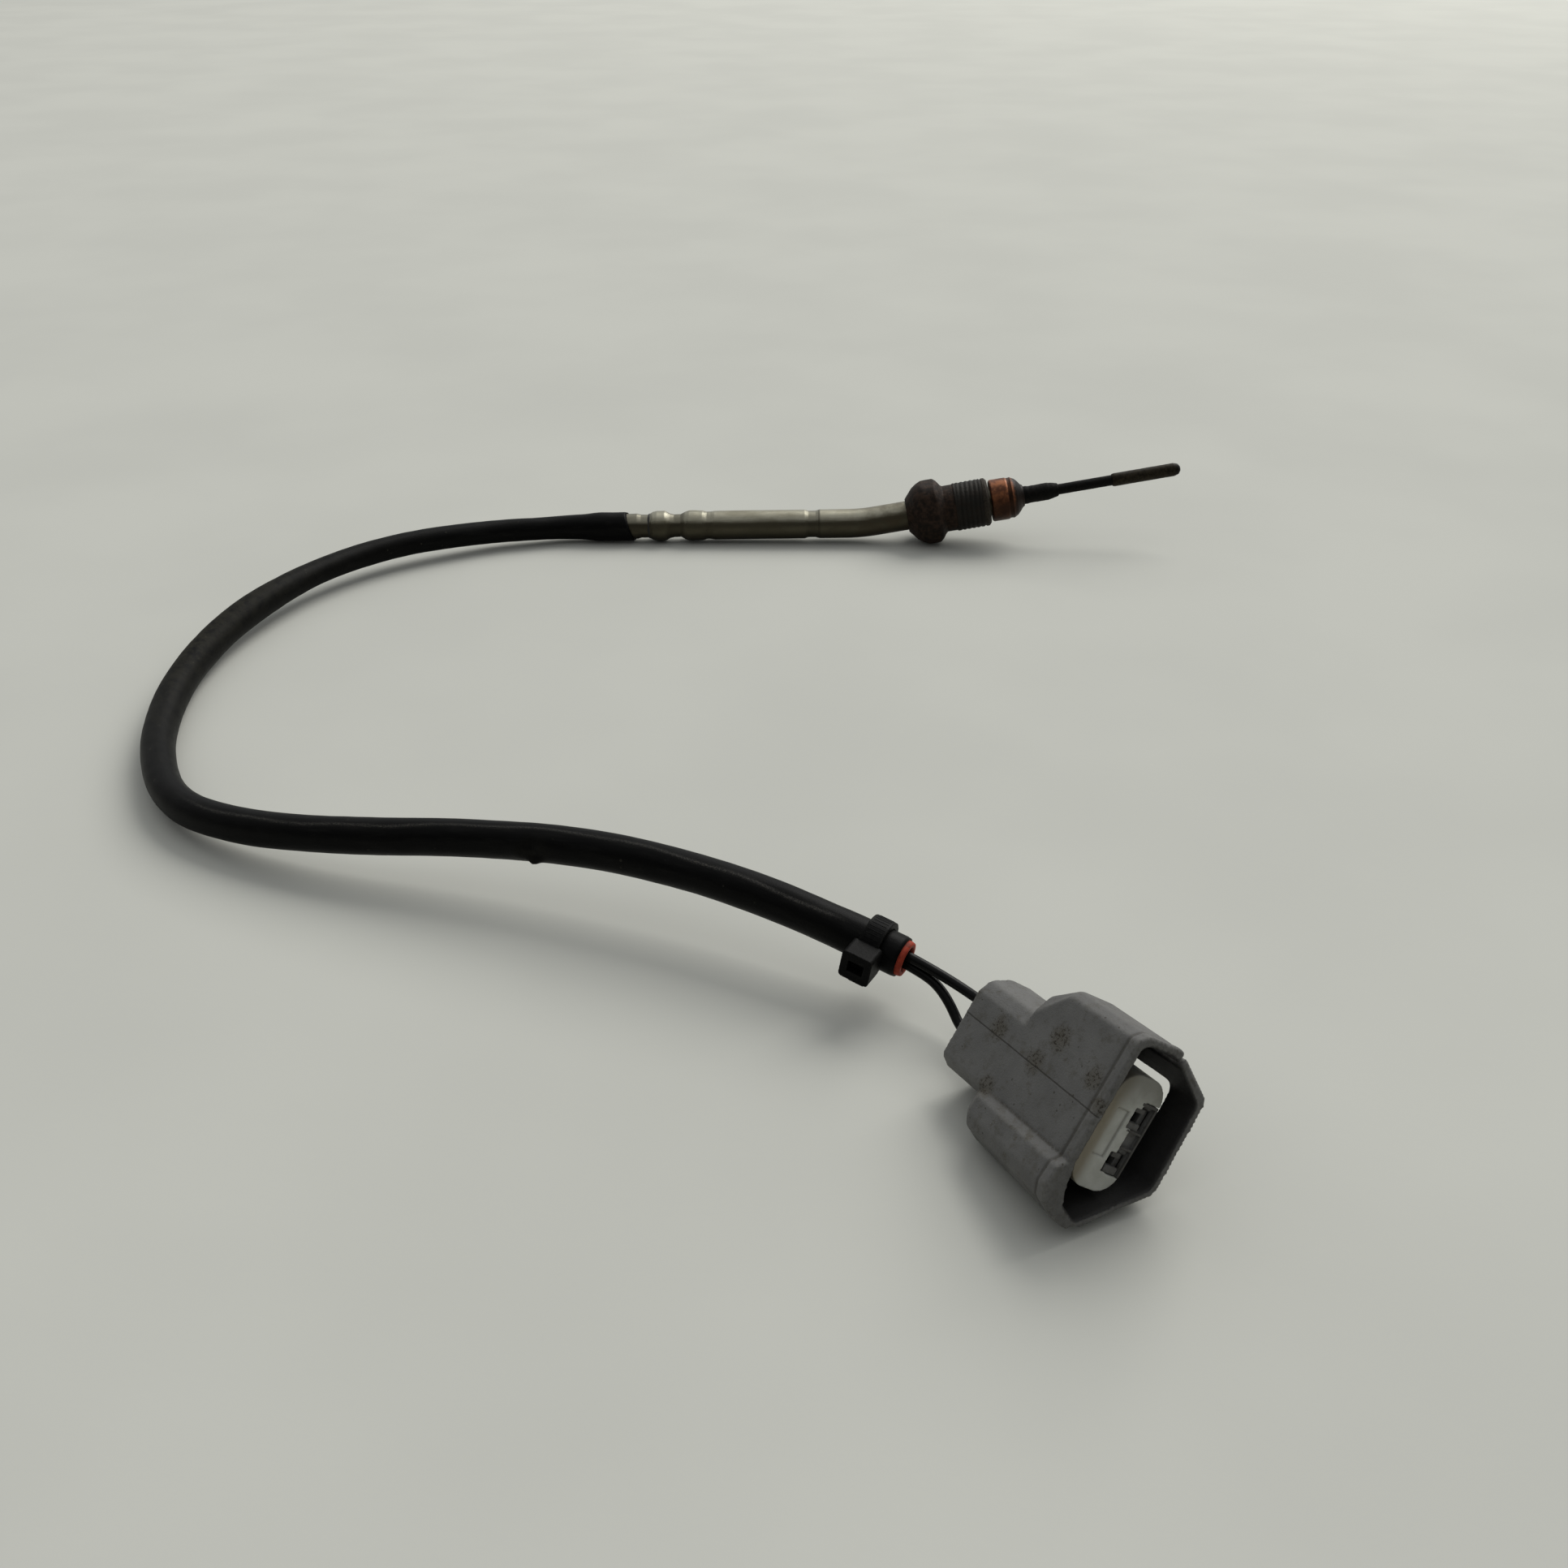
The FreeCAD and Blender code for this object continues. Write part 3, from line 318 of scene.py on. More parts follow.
def neck_steel_finish():
    finish = Finish("neck_steel", metallic=0.75, specular_ior_level=0.2, **NECK_FRAME)
    stain = finish.noise(5.0, 4, 0.6, stretch=(2.5, 1, 1)).within(0.35, 0.7)
    streak = finish.noise(0.5, 3, 0.6, stretch=(14, 1, 1))
    finish.colour = finish.mix(stain, (0.300, 0.288, 0.228), (0.200, 0.188, 0.140))
    finish.layer(streak.within(0.5, 0.8) * 0.45, (0.25, 0.240, 0.190))
    # Painted shade and reflection: by which way the surface faces, the tube's flanks and underside are
    # painted darker than its top, standing in for how the light falls.
    height = finish.facing("Z")
    painted_dark_flank = (height + 0.25 * (streak - 0.5)).within(0.74, 0.42)
    finish.layer(painted_dark_flank * 0.93, (0.052, 0.045, 0.028))
    finish.layer(height.within(-0.1, -0.8) * 0.7, (0.020, 0.017, 0.011))
    warm = finish.x.within(-14, 14) * finish.noise(3.0, 3, 0.6, shift=(4, 0, 0)).within(0.3, 0.65)
    finish.layer(warm * 0.6, (0.060, 0.044, 0.026))
    # Painted shade in the crimps' dips and at the groove's edge.
    finish.layer(finish.attribute("painted_crease_shade") * 0.85, (0.030, 0.025, 0.016))
    finish.paint(roughness=0.40 + 0.18 * stain)
    finish.bump(streak, 0.02)


def collar_steel_finish():
    finish = Finish("collar_steel", specular_ior_level=0.12, **PROBE_FRAME)
    patch = finish.noise(2.4, 4, 0.6).within(0.36, 0.62)
    fine = finish.noise(0.4, 4, 0.7)
    copper = finish.mix(patch, (0.200, 0.076, 0.034), (0.075, 0.030, 0.017))
    soot_and_groove_shade = finish.mix(fine.within(0.3, 0.7), (0.0048, 0.0040, 0.0032), (0.0150, 0.0095, 0.0065))
    on_dome = (finish.x + 1.2 * finish.noise(1.5, 3, 0.6)).within(29.2, 30.3)
    # Painted shade in the collar's groove, in the dark tone of the soot on the dome.
    ring = (finish.x - 28.2).absolute().within(0.75, 0.35)
    # Painted shade: the collar's underside is painted dark reddish brown, as it faces away from the light.
    painted_shade_below = finish.facing("Z").within(0.60, -0.10)
    finish.colour = finish.mix(on_dome, copper, soot_and_groove_shade)
    finish.layer(ring * 0.75, soot_and_groove_shade)
    finish.layer(painted_shade_below * 0.8, (0.020, 0.0105, 0.0070))
    finish.paint(metallic=0.75 - 0.6 * on_dome, roughness=0.30 + 0.3 * fine)
    finish.bump(fine, 0.05)


def cap_alloy_finish():
    finish = Finish("cap_alloy", metallic=0.3, specular_ior_level=0.1, **PROBE_FRAME)
    scale = finish.noise(0.9, 5, 0.7)
    burnt = finish.x.within(72.2, 73.6)
    finish.colour = finish.mix(scale.within(0.35, 0.7), (0.0100, 0.0078, 0.0046), (0.030, 0.024, 0.0140))
    finish.layer(burnt * 0.8, (0.004, 0.0035, 0.003))
    finish.paint(roughness=0.42 + 0.25 * scale)
    finish.bump(scale, 0.07)


def sleeve_vinyl_finish():
    """Black vinyl with a dusty bend and fine scuffs, and painted highlights in ragged specks along its seam.
    """
    finish = Finish("sleeve_vinyl", specular_ior_level=0.06)
    run = finish.attribute("unrolled", "Vector")
    dusty = finish.attribute("dusty")
    painted_seam_highlight = finish.attribute("painted_seam_highlight")
    scuff = finish.noise(1.2, 5, 0.65, stretch=(6, 1, 1), of=run)
    grain = finish.noise(0.22, 3, 0.6, of=run)
    dust = finish.noise(2.6, 5, 0.7, of=run)
    finish.colour = finish.mix(scuff.within(0.45, 0.8), (0.0022, 0.0022, 0.0021), (0.0070, 0.0069, 0.0064))
    finish.layer(dusty * dust.within(0.30, 0.62) * 0.8, (0.023, 0.0215, 0.0150))
    speck = finish.cells(2.2, of=run).within(0.16, 0.08) * dust.within(0.5, 0.62)
    finish.layer(speck * 0.7, (0.030, 0.028, 0.022))
    # Painted highlight: lighter ragged specks along the seam.
    finish.layer(painted_seam_highlight * grain.within(0.45, 0.62) * 0.8, (0.050, 0.047, 0.040))
    finish.paint(roughness=0.34 + 0.20 * scuff + 0.25 * dusty)
    finish.bump(0.5 * grain + scuff, 0.05)


def orange_silicone_finish():
    finish = Finish("orange_silicone", specular_ior_level=0.15)
    mottle = finish.noise(0.8, 4, 0.6)
    finish.colour = finish.mix(mottle.within(0.3, 0.7), (0.350, 0.044, 0.020), (0.240, 0.031, 0.015))
    dirt = finish.noise(1.6, 4, 0.6, shift=(3, 1, 2)).within(0.58, 0.72)
    finish.layer(dirt * 0.7, (0.055, 0.020, 0.012))
    finish.paint(roughness=0.52 + 0.2 * mottle)
    finish.bump(mottle, 0.05)


def tie_nylon_finish():
    finish = Finish("tie_nylon", specular_ior_level=0.05)
    grain = finish.noise(0.5, 4, 0.65)
    finish.colour = finish.mix(grain.within(0.4, 0.8), (0.0020, 0.0020, 0.0020), (0.0062, 0.0061, 0.0057))
    worn = finish.attribute("wear") * finish.noise(0.9, 3, 0.6, shift=(2, 5, 1)).within(0.35, 0.6)
    finish.layer(worn * 0.6, (0.026, 0.025, 0.023))
    finish.paint(roughness=0.34 + 0.25 * grain)
    finish.bump(grain, 0.04)


# On the plug: the groove behind its rim, its big face's parting line, and dirt as (station, across, size)
RIM_GROOVE = 2.0
PARTING_LINE = -2.0
DIRT_SPOTS = [(-24.8, -0.9, 2.6), (-13.0, 3.4, 2.8), (-15.1, -1.4, 2.6), (-3.9, 1.8, 2.4), (-0.8, -0.8, 1.8),
              (-21.1, -8.8, 2.4)]


def grey_plastic_finish():
    """Matt grey moulding: parting line, worn edges, darker hollows, specks and brown smudges, with painted
    shade in the groove behind the rim and inside the shroud.
    """
    finish = Finish("grey_plastic", specular_ior_level=0.2, **PLUG_FRAME)
    cloud = finish.noise(7.0, 4, 0.6)
    grain = finish.noise(0.30, 3, 0.6)
    finish.colour = finish.mix(cloud.within(0.3, 0.7), (0.104, 0.1025, 0.0990), (0.130, 0.1285, 0.1240))
    dull = finish.noise(2.2, 4, 0.7, shift=(9, 2, 4)).within(0.50, 0.70)
    finish.layer(dull * 0.5, (0.066, 0.061, 0.048))
    wear = finish.attribute("wear")
    ragged = finish.noise(0.8, 4, 0.7, shift=(1, 7, 3))
    finish.layer(wear * ragged.within(0.35, 0.6) * 0.60, (0.185, 0.182, 0.168))
    hollowness = finish.attribute("hollowness")
    finish.layer(hollowness * ragged.within(0.25, 0.55) * 0.8, (0.026, 0.021, 0.013))
    crumbs = finish.noise(0.55, 4, 0.8, shift=(5, 5, 0))
    for x, y, size in DIRT_SPOTS:
        away = finish.node("ShaderNodeVectorMath", {"operation": "DISTANCE"},
                           {0: finish.place, 1: (x, y, 0.0)}, "Value")
        here = (away + 2.6 * (ragged - 0.5)).within(size, 0.35 * size)
        finish.layer(here * 0.45, (0.060, 0.050, 0.030))
        finish.layer(here * crumbs.within(0.50, 0.60) * 0.9, (0.016, 0.011, 0.006))
    smudge = finish.noise(2.4, 5, 0.75, shift=(3, 8, 8)).within(0.56, 0.70)
    finish.layer(smudge * 0.55, (0.058, 0.049, 0.032))
    speck = finish.cells(1.9, shift=(3, 1, 8)).within(0.12, 0.06) * crumbs.within(0.42, 0.5)
    finish.layer(speck * 0.7, (0.030, 0.025, 0.017))
    on_big_face = finish.z.within(-0.9, -0.3)
    line = (finish.y - PARTING_LINE + 0.25 * (cloud - 0.5)).absolute().within(0.16, 0.06) * on_big_face
    finish.layer(line * (0.40 + 0.5 * ragged), (0.022, 0.019, 0.014))
    inside = finish.attribute("inside")
    # Painted shade in the groove behind the rim.
    groove = (finish.x + RIM_GROOVE).absolute().within(0.42, 0.12) * (1 - inside)
    finish.layer(groove * (0.25 + 0.6 * ragged), (0.030, 0.026, 0.019))
    rim = (finish.x + 0.35 - 0.8 * ragged).within(-0.2, 0.3)
    finish.layer(rim * 0.5, (0.026, 0.022, 0.015))
    # Painted shade: the faces inside the shroud are painted near black.
    finish.layer(inside * 0.88, (0.0105, 0.0100, 0.0098))
    finish.paint(roughness=0.52 + 0.2 * ragged)
    finish.bump(grain + 0.8 * ragged - 1.6 * line, 0.06)


def white_plastic_finish():
    finish = Finish("white_plastic", specular_ior_level=0.25, **PLUG_FRAME)
    cloud = finish.noise(3.0, 4, 0.6)
    finish.colour = finish.mix(cloud.within(0.3, 0.7), (0.450, 0.455, 0.420), (0.360, 0.362, 0.325))
    stain = (finish.z - 2.2 * (cloud - 0.5)).within(-6.6, -4.0)
    finish.layer(stain * 0.75, (0.150, 0.115, 0.060))
    shaded = (finish.y + 2.0 * (cloud - 0.5)).within(-1.0, 4.6)
    finish.layer(shaded * 0.7, (0.125, 0.118, 0.095))
    hollowness = finish.attribute("hollowness")
    finish.layer(hollowness * 0.6, (0.070, 0.058, 0.036))
    finish.paint(roughness=0.42 + 0.2 * cloud)
    finish.bump(cloud, 0.05)


def two_tone_finish(name, dark, light, size, depth, rough, spread=0.2, edges=(0.35, 0.7), detail=4,
                    coarse=0.6, **fixed):
    """Two tones in blotches about size across, the lighter ones rougher, with a little relief."""
    finish = Finish(name, **fixed)
    mottle = finish.noise(size, detail, coarse)
    finish.colour = finish.mix(mottle.within(*edges), dark, light)
    finish.paint(roughness=rough + spread * mottle)
    finish.bump(mottle, depth)


def floor_finish():
    finish = Finish("floor", roughness=0.9, specular_ior_level=0.0)
    cloud = finish.noise(90.0, 3, 0.5)
    fine = finish.noise(3.0, 3, 0.6)
    finish.colour = finish.mix(cloud.within(0.3, 0.7), (0.505, 0.508, 0.470), (0.530, 0.533, 0.492))
    finish.paint()
    finish.bump(fine, 0.05, 0.3)


for make_finish in (nut_steel_finish, neck_steel_finish, collar_steel_finish, cap_alloy_finish,
                    sleeve_vinyl_finish, orange_silicone_finish, tie_nylon_finish, grey_plastic_finish,
                    white_plastic_finish, floor_finish):
    make_finish()
two_tone_finish("sheath_alloy", (0.0028, 0.0028, 0.0024), (0.0085, 0.0070, 0.0052), 0.7, 0.12, 0.5, 0.3,
                (0.4, 0.75), 5, 0.7, specular_ior_level=0.08, **PROBE_FRAME)
two_tone_finish("wire_insulation", (0.0018,) * 3, (0.0052, 0.0051, 0.0048), 0.9, 0.02, 0.20, 0.22,
                (0.5, 0.8), specular_ior_level=0.10)
two_tone_finish("mineral_powder", (0.55, 0.54, 0.50), (0.70, 0.69, 0.66), 0.5, 0.05, 0.8)
two_tone_finish("element_ceramic", (0.62, 0.58, 0.50), (0.74, 0.71, 0.64), 0.6, 0.02, 0.5)
two_tone_finish("tinned_brass", (0.40, 0.36, 0.28), (0.58, 0.55, 0.48), 1.0, 0.02, 0.28, metallic=1.0)
two_tone_finish("black_rubber", (0.006,) * 3, (0.016, 0.016, 0.015), 0.8, 0.05, 0.6)


# Making meshes

def coat(mesh, finish):
    mesh.materials.clear()
    mesh.materials.append(finishes[finish])


def add_object(name, mesh, finish, body="sensor"):
    piece = linked(name, mesh)
    coat(mesh, finish)
    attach(piece, body)
    return piece


def angles_round(count):
    """Row of angles for a ring of count points; angle 0 is up."""
    return np.linspace(0, FULL_TURN, count, endpoint=False)[None, :]


def skin(name, grid, loop=False):
    """Mesh over rows of points that each close round; the rows close into a loop or end in poles."""
    rows, around = grid.shape[:2]
    index = np.arange(rows * around).reshape(rows, around)
    lower = index if loop else index[:-1]
    upper = np.roll(index, -1, axis=0) if loop else index[1:]
    quads = np.stack([lower, np.roll(lower, -1, 1), np.roll(upper, -1, 1), upper], axis=-1).reshape(-1, 4)
    points = grid.reshape(-1, 3)
    faces = quads.tolist()
    if not loop:
        points = np.vstack([points, grid[0].mean(axis=0), grid[-1].mean(axis=0)])
        first, last = rows * around, rows * around + 1
        faces += [[first, int(b), int(a)] for a, b in zip(index[0], np.roll(index[0], -1))]
        faces += [[last, int(a), int(b)] for a, b in zip(index[-1], np.roll(index[-1], -1))]
    corners = points[quads]
    volume = np.einsum("ij,ij->i", corners[:, 0], np.cross(corners[:, 1], corners[:, 2])).sum() \
        + np.einsum("ij,ij->i", corners[:, 0], np.cross(corners[:, 2], corners[:, 3])).sum()
    if volume < 0:
        faces = [face[::-1] for face in faces]
    mesh = bpy.data.meshes.new(name)
    mesh.from_pydata(points.tolist(), [], faces)
    mesh.shade_smooth()
    return mesh


def rounded(corners, step, closed=False):
    """Dense outline through (station, radius, round) corners, in millimetres."""
    count = len(corners)
    dense = []
    for i, (station, radius, bend) in enumerate(corners):
        here = np.array((station, radius), float)
        if bend == 0 or (not closed and i in (0, count - 1)):
            dense.append(here)
            continue
        back = np.array(corners[i - 1][:2], float) - here
        ahead = np.array(corners[(i + 1) % count][:2], float) - here
        back_length, ahead_length = np.linalg.norm(back), np.linalg.norm(ahead)
        between = math.acos(np.clip(back @ ahead / (back_length * ahead_length), -1, 1))
        reach = min(bend / math.tan(between / 2), 0.45 * min(back_length, ahead_length))
        first, last = here + back / back_length * reach, here + ahead / ahead_length * reach
        for t in np.linspace(0, 1, 6):
            dense.append((1 - t) ** 2 * first + 2 * t * (1 - t) * here + t ** 2 * last)
    result = []
    for i in range(len(dense) - (0 if closed else 1)):
        here, ahead = dense[i], dense[(i + 1) % len(dense)]
        parts = max(1, math.ceil(np.linalg.norm(ahead - here) / step))
        result += [here + (ahead - here) * k / parts for k in range(parts)]
    if not closed:
        result.append(dense[-1])
    return np.array(result)


def moved(grid, place):
    matrix = np.array(place)
    return grid @ matrix[:3, :3].T + matrix[:3, 3]


def lathe(name, place, outline, turns, loop=False, shape=None):
    """Skin of revolution about a place's X axis."""
    angle = angles_round(turns)
    station, radius = outline[:, :1], outline[:, 1:] + 0 * angle
    if shape:
        radius = shape(station, radius, angle)
    grid = np.stack([station + 0 * radius, radius * np.sin(angle), radius * np.cos(angle)], axis=-1)
    return skin(name, moved(grid, place), loop)


def swells(along, angle, amount, length, seed):
    """Gentle unevenness of a round surface from a few seeded waves."""
    chance = np.random.default_rng(seed)
    total = 0
    for lobes in (0, 1, 2, 3, 1, 2):
        wave = length * chance.uniform(0.5, 2.0)
        total = total + np.sin(along * FULL_TURN / wave + chance.uniform(0, FULL_TURN)) \
            * np.cos(lobes * angle + chance.uniform(0, FULL_TURN))
    return amount * total / 6


def step_up(value, low, high):
    """Smooth step from 0 at low to 1 at high."""
    t = np.clip((value - low) / (high - low), 0, 1)
    return t * t * (3 - 2 * t)


def rising(slope):
    """Unit vector along X that rises by a slope in radians."""
    return np.array((math.cos(slope), 0, math.sin(slope)))


def set_attribute(mesh, name, values):
    """Store a number or a vector for each of a mesh's points."""
    kind = "FLOAT_VECTOR" if np.ndim(values) == 2 else "FLOAT"
    field = "vector" if kind == "FLOAT_VECTOR" else "value"
    layer = mesh.attributes.new(name, kind, "POINT")
    layer.data.foreach_set(field, np.asarray(values, dtype=np.float32).ravel())


# Probe

HEX_APOTHEM, HEX_ENVELOPE, HEX_LENGTH = 8.25, 8.65, 10.0
SHANK_RADIUS, THREAD_RADIUS, THREAD_DEPTH, THREAD_PITCH = 6.2, 6.45, 0.14, 1.25
THREAD_FROM, THREAD_TO = 13.4, 20.4
NUT_BORE = 4.0


def nut_radius(station, radius, angle):
    """Flats of the hexagon, and the helical thread with its run-in and run-out."""
    flat = (angle + math.pi / 6) % (math.pi / 3) - math.pi / 6
    hexagon = HEX_APOTHEM / np.cos(flat)
    outside = (radius > NUT_BORE + 1.0) & (station < HEX_LENGTH + 0.01)
    soft = 0.22
    blend = -soft * np.log(np.exp(-radius / soft) + np.exp(-hexagon / soft))
    near = np.abs(radius - hexagon) < 6 * soft
    radius = np.where(outside, np.where(near, blend, np.minimum(radius, hexagon)), radius)
    phase = (station / THREAD_PITCH - angle / FULL_TURN) % 1.0
    ridge = 1 - step_up(np.abs(phase - 0.5), 0.10, 0.42)
    run = step_up(station, THREAD_FROM - 0.2, THREAD_FROM + 0.9) \
        * (1 - step_up(station, THREAD_TO - 0.7, THREAD_TO + 0.1))
    threaded = radius > NUT_BORE + 1.0
    radius = radius - np.where(threaded, THREAD_DEPTH * (1 - ridge) * run, 0)
    return radius + np.where(threaded, swells(station, angle, 0.05, 5.0, 3), 0)


def add_gland_nut():
    outline = rounded([
        (0.1, NUT_BORE, 0.1), (0.0, 4.4, 0.2), (1.0, 5.6, 1.0), (2.2, 7.0, 1.5), (3.4, 7.85, 1.5),
        (4.9, 8.6, 1.5), (6.3, HEX_ENVELOPE, 1.0), (8.1, HEX_ENVELOPE, 0.6), (9.0, 7.9, 0.5),
        (HEX_LENGTH, 6.55, 0.3), (10.4, SHANK_RADIUS, 0.3), (13.0, SHANK_RADIUS, 0.2),
        (THREAD_FROM, THREAD_RADIUS, 0.15), (THREAD_TO, THREAD_RADIUS, 0.15), (20.6, 6.25, 0.1),
        (20.9, 6.25, 0.1), (21.1, 6.44, 0.15), (21.8, 6.44, 0.3), (22.4, 5.8, 0.2),
        (22.4, NUT_BORE + 0.8, 0.1), (21.6, NUT_BORE, 0.2)], 0.13, closed=True)
    mesh = lathe("nut", PROBE, outline, 204, loop=True, shape=nut_radius)
    nut = add_object("nut", mesh, "nut_steel", "nut")
    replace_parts(nut, "gland_nut")


# Outline of the neck tube from its rear end to its bend, as (station, radius, round) corners
CRIMPS = [(TUBE_REAR, 3.42, 0), (-61.4, 3.42, .2), (-60.3, 3.14, .5), (-58.3, 3.14, .6), (-57.1, 3.85, .7),
          (-56.0, 4.1, .9), (-53.8, 4.08, .9), (-52.4, 3.35, .6), (-51.3, 3.08, .5), (-49.5, 3.08, .6),
          (-48.3, 3.75, .7), (-47.2, 4.08, .9), (-43.6, 4.05, .9), (-42.3, 3.68, .5), (-41.3, 3.7, .5),
          (-40.2, 3.9, 1.0), (-15.6, 3.9, .4), (-14.6, 3.58, .5), (-12.6, 3.6, .5), (-11.5, 3.9, .4),
          (-BEND_REACH, 3.9, 0)]
TUBE_BORE = 3.1
CRIMPED_TO = -36.0
GROOVE_EDGE = -11.7


def neck_places(stations):
    """Centres and upward directions of the neck tube at stations counted from where its bend starts."""
    neck, probe = math.radians(NECK_RISE), math.radians(PROBE_RISE)
    turn = probe - neck
    corner = np.array(BEND_CORNER)
    start = corner - BEND_REACH * rising(neck)
    centres, ups = [], []
    for s in stations:
        along = min(max(s, 0), BEND_RADIUS * turn)
        slope = neck + along / BEND_RADIUS
        centre = start + BEND_RADIUS * np.array((math.sin(slope) - math.sin(neck), 0,
                                                 math.cos(neck) - math.cos(slope)))
        centre = centre + (s - along) * rising(slope)
        centres.append(centre)
        ups.append((-math.sin(slope), 0, math.cos(slope)))
    return np.array(centres), np.array(ups)


def add_steel_tube():
    bend = BEND_RADIUS * math.radians(PROBE_RISE - NECK_RISE)
    front = bend + (BEND_TO_NUT - BEND_REACH) + TUBE_FRONT
    rear_part = rounded(CRIMPS, 0.3)
    rear_part[:, 0] += BEND_REACH
    front_part = rounded([(0.0, 3.9, 0), (front - 0.2, 3.9, 0.1), (front, 3.75, 0)], 0.5)[1:]
    outer = np.vstack([rear_part, front_part])
    inner = np.array([(s, TUBE_BORE) for s in np.linspace(front, rear_part[0, 0], 60)])
    inner[:, 1] = np.minimum(TUBE_BORE, np.interp(inner[:, 0], outer[:, 0], outer[:, 1]) - 0.6)
    outline = np.vstack([outer, inner])
    angle = angles_round(96)
    station, plain = outline[:, :1], outline[:, 1:] + 0 * angle
    skin_rows = np.arange(len(outline))[:, None] < len(outer)
    crimped = skin_rows * (1 - step_up(station, CRIMPED_TO, CRIMPED_TO + 2.0))
    radius = plain + crimped * swells(station, angle, 0.10, 7.0, 11) \
        + skin_rows * swells(station, angle, 0.03, 21.0, 5)
    radius = radius + crimped * 0.05 * np.cos(6 * angle) * (plain < 3.8)
    centres, ups = neck_places(station[:, 0])
    sides = np.array((0.0, 1.0, 0.0))
    grid = centres[:, None, :] + radius[..., None] * (np.sin(angle)[..., None] * sides
                                                      + np.cos(angle)[..., None] * ups[:, None, :])
    mesh = skin("tube", grid * MM, loop=True)
    # Painted shade mask: darker where the crimps dip and at the groove's edge.
    painted_crease_shade = np.clip((3.86 - plain) / 0.45, 0, 1) * (skin_rows & (station < 0))
    edge = np.exp(-((station - GROOVE_EDGE - BEND_REACH) / 0.25) ** 2) * skin_rows
    set_attribute(mesh, "painted_crease_shade", (np.clip(0.55 * painted_crease_shade + 0.8 * edge, 0, 1) + 0 * angle).ravel())
    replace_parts(add_object("neck_tube", mesh, "neck_steel"), "steel_tube")


def add_collar():
    outline = rounded([
        (TUBE_FRONT, 3.93, 0.05), (COLLAR_START + 0.15, 3.93, 0.1), (COLLAR_START, 4.1, 0.1),
        (COLLAR_START, 5.3, 0.3), (COLLAR_START + 0.4, 5.62, 0.3), (27.3, 5.62, 0.2), (27.75, 5.4, 0.2),
        (28.35, 5.4, 0.2), (28.75, 5.5, 0.2), (COLLAR_END, 5.25, 0.4), (29.9, 4.85, 0.6), (30.7, 4.0, 0.6),
        (31.3, 3.2, 0.4), (DOME_END, 2.8, 0.2), (DOME_END, 2.43, 0.1),
        (TUBE_FRONT, 2.43, 0.05)], 0.15, closed=True)

    def weld(station, radius, angle):
        return radius + (radius > 4.2) * swells(station, angle, 0.06, 3.0, 8)

    mesh = lathe("collar", PROBE, outline, 144, loop=True, shape=weld)
    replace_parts(add_object("collar", mesh, "collar_steel"), "seat_collar")


def add_sheaths():
    def scaly(amount, seed, smallest):
        return lambda station, radius, angle: radius + (radius > smallest) * (
            swells(station, angle, amount, 4.0, seed) + swells(station, angle, amount * 0.6, 1.3, seed + 1))

    support = rounded([
        (TUBE_FRONT, 1.43, 0.05), (TUBE_FRONT, 2.4, 0.1), (32.6, 2.4, 0.2), (33.4, 2.28, 0.3),
        (38.4, 2.33, 0.5), (39.6, 2.1, 0.5), (SUPPORT_END - 0.3, 1.75, 0.2), (SUPPORT_END, 1.43, 0.1)],
        0.2, closed=True)
    mesh = lathe("support", PROBE, support, 72, loop=True, shape=scaly(0.08, 21, 1.9))
    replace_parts(add_object("support_tube", mesh, "sheath_alloy"), "support_sheath")

    sheath = rounded([
        (8.0, 1.1, 0.02), (8.0, 1.4, 0.05), (CAP_START + 2.0, 1.4, 0.05), (CAP_START + 2.0, 1.1, 0.02)],
        0.3, closed=True)
    mesh = lathe("thin_sheath", PROBE, sheath, 48, loop=True, shape=scaly(0.03, 31, 1.3))
    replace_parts(add_object("thin_sheath", mesh, "sheath_alloy"), "mineral_sheath")

    cap = rounded([
        (TIP - 1.6, 0.0, 0), (TIP - 1.6, 1.43, 0.1), (CAP_START, 1.43, 0.05), (CAP_START - 0.05, 1.6, 0.1),
        (CAP_START + 0.5, 1.75, 0.2), (TIP - 1.75, 1.75, 0.6), (TIP - 0.55, 1.38, 0.5),
        (TIP - 0.02, 0.6, 0.3), (TIP, 0.0, 0)], 0.2)
    mesh = lathe("cap", PROBE, cap, 64, shape=scaly(0.03, 41, 1.48))
    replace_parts(add_object("tip", mesh, "cap_alloy"), "tip_cap")


# Lead

def route_curve(name, points):
    """Smooth line with the route's points as its control points."""
    curve = bpy.data.curves.new(name, "CURVE")
    curve.dimensions = "3D"
    spline = curve.splines.new("NURBS")
    spline.points.add(len(points) - 1)
    for target, point in zip(spline.points, points):
        target.co = (*(c * MM for c in point), 1.0)
    spline.order_u = 3
    spline.use_endpoint_u = True
    spline.resolution_u = 40
    return curve


def points_along(points, step):
    """Evenly spaced points read from a route's smooth line, in millimetres."""
    line = linked("line", route_curve("line", points))
    mesh = bpy.data.meshes.new_from_object(line)
    read = np.array([v.co[:] for v in mesh.vertices]) / MM
    bpy.data.objects.remove(line)
    bpy.data.meshes.remove(mesh)
    gaps = np.linalg.norm(np.diff(read, axis=0), axis=1)
    run = np.concatenate([[0], np.cumsum(gaps)])
    wanted = np.linspace(0, run[-1], int(run[-1] / step) + 1)
    even = np.stack([np.interp(wanted, run, read[:, k]) for k in range(3)], axis=1)
    for _ in range(2):
        even[1:-1] = 0.25 * even[:-2] + 0.5 * even[1:-1] + 0.25 * even[2:]
    return even, wanted


def sleeve_points(step):
    """Points along the sleeve's route, its first stretch kept on the neck's axis."""
    points, run = points_along(SLEEVE_ROUTE, step)
    axis = rising(math.radians(NECK_RISE))
    on_axis = BEND_CORNER + ((points - BEND_CORNER) @ axis)[:, None] * axis
    share = 1 - step_up(run, STRAIGHT_ON_NECK, STRAIGHT_ON_NECK + 14.0)
    return points + (on_axis - points) * share[:, None], run


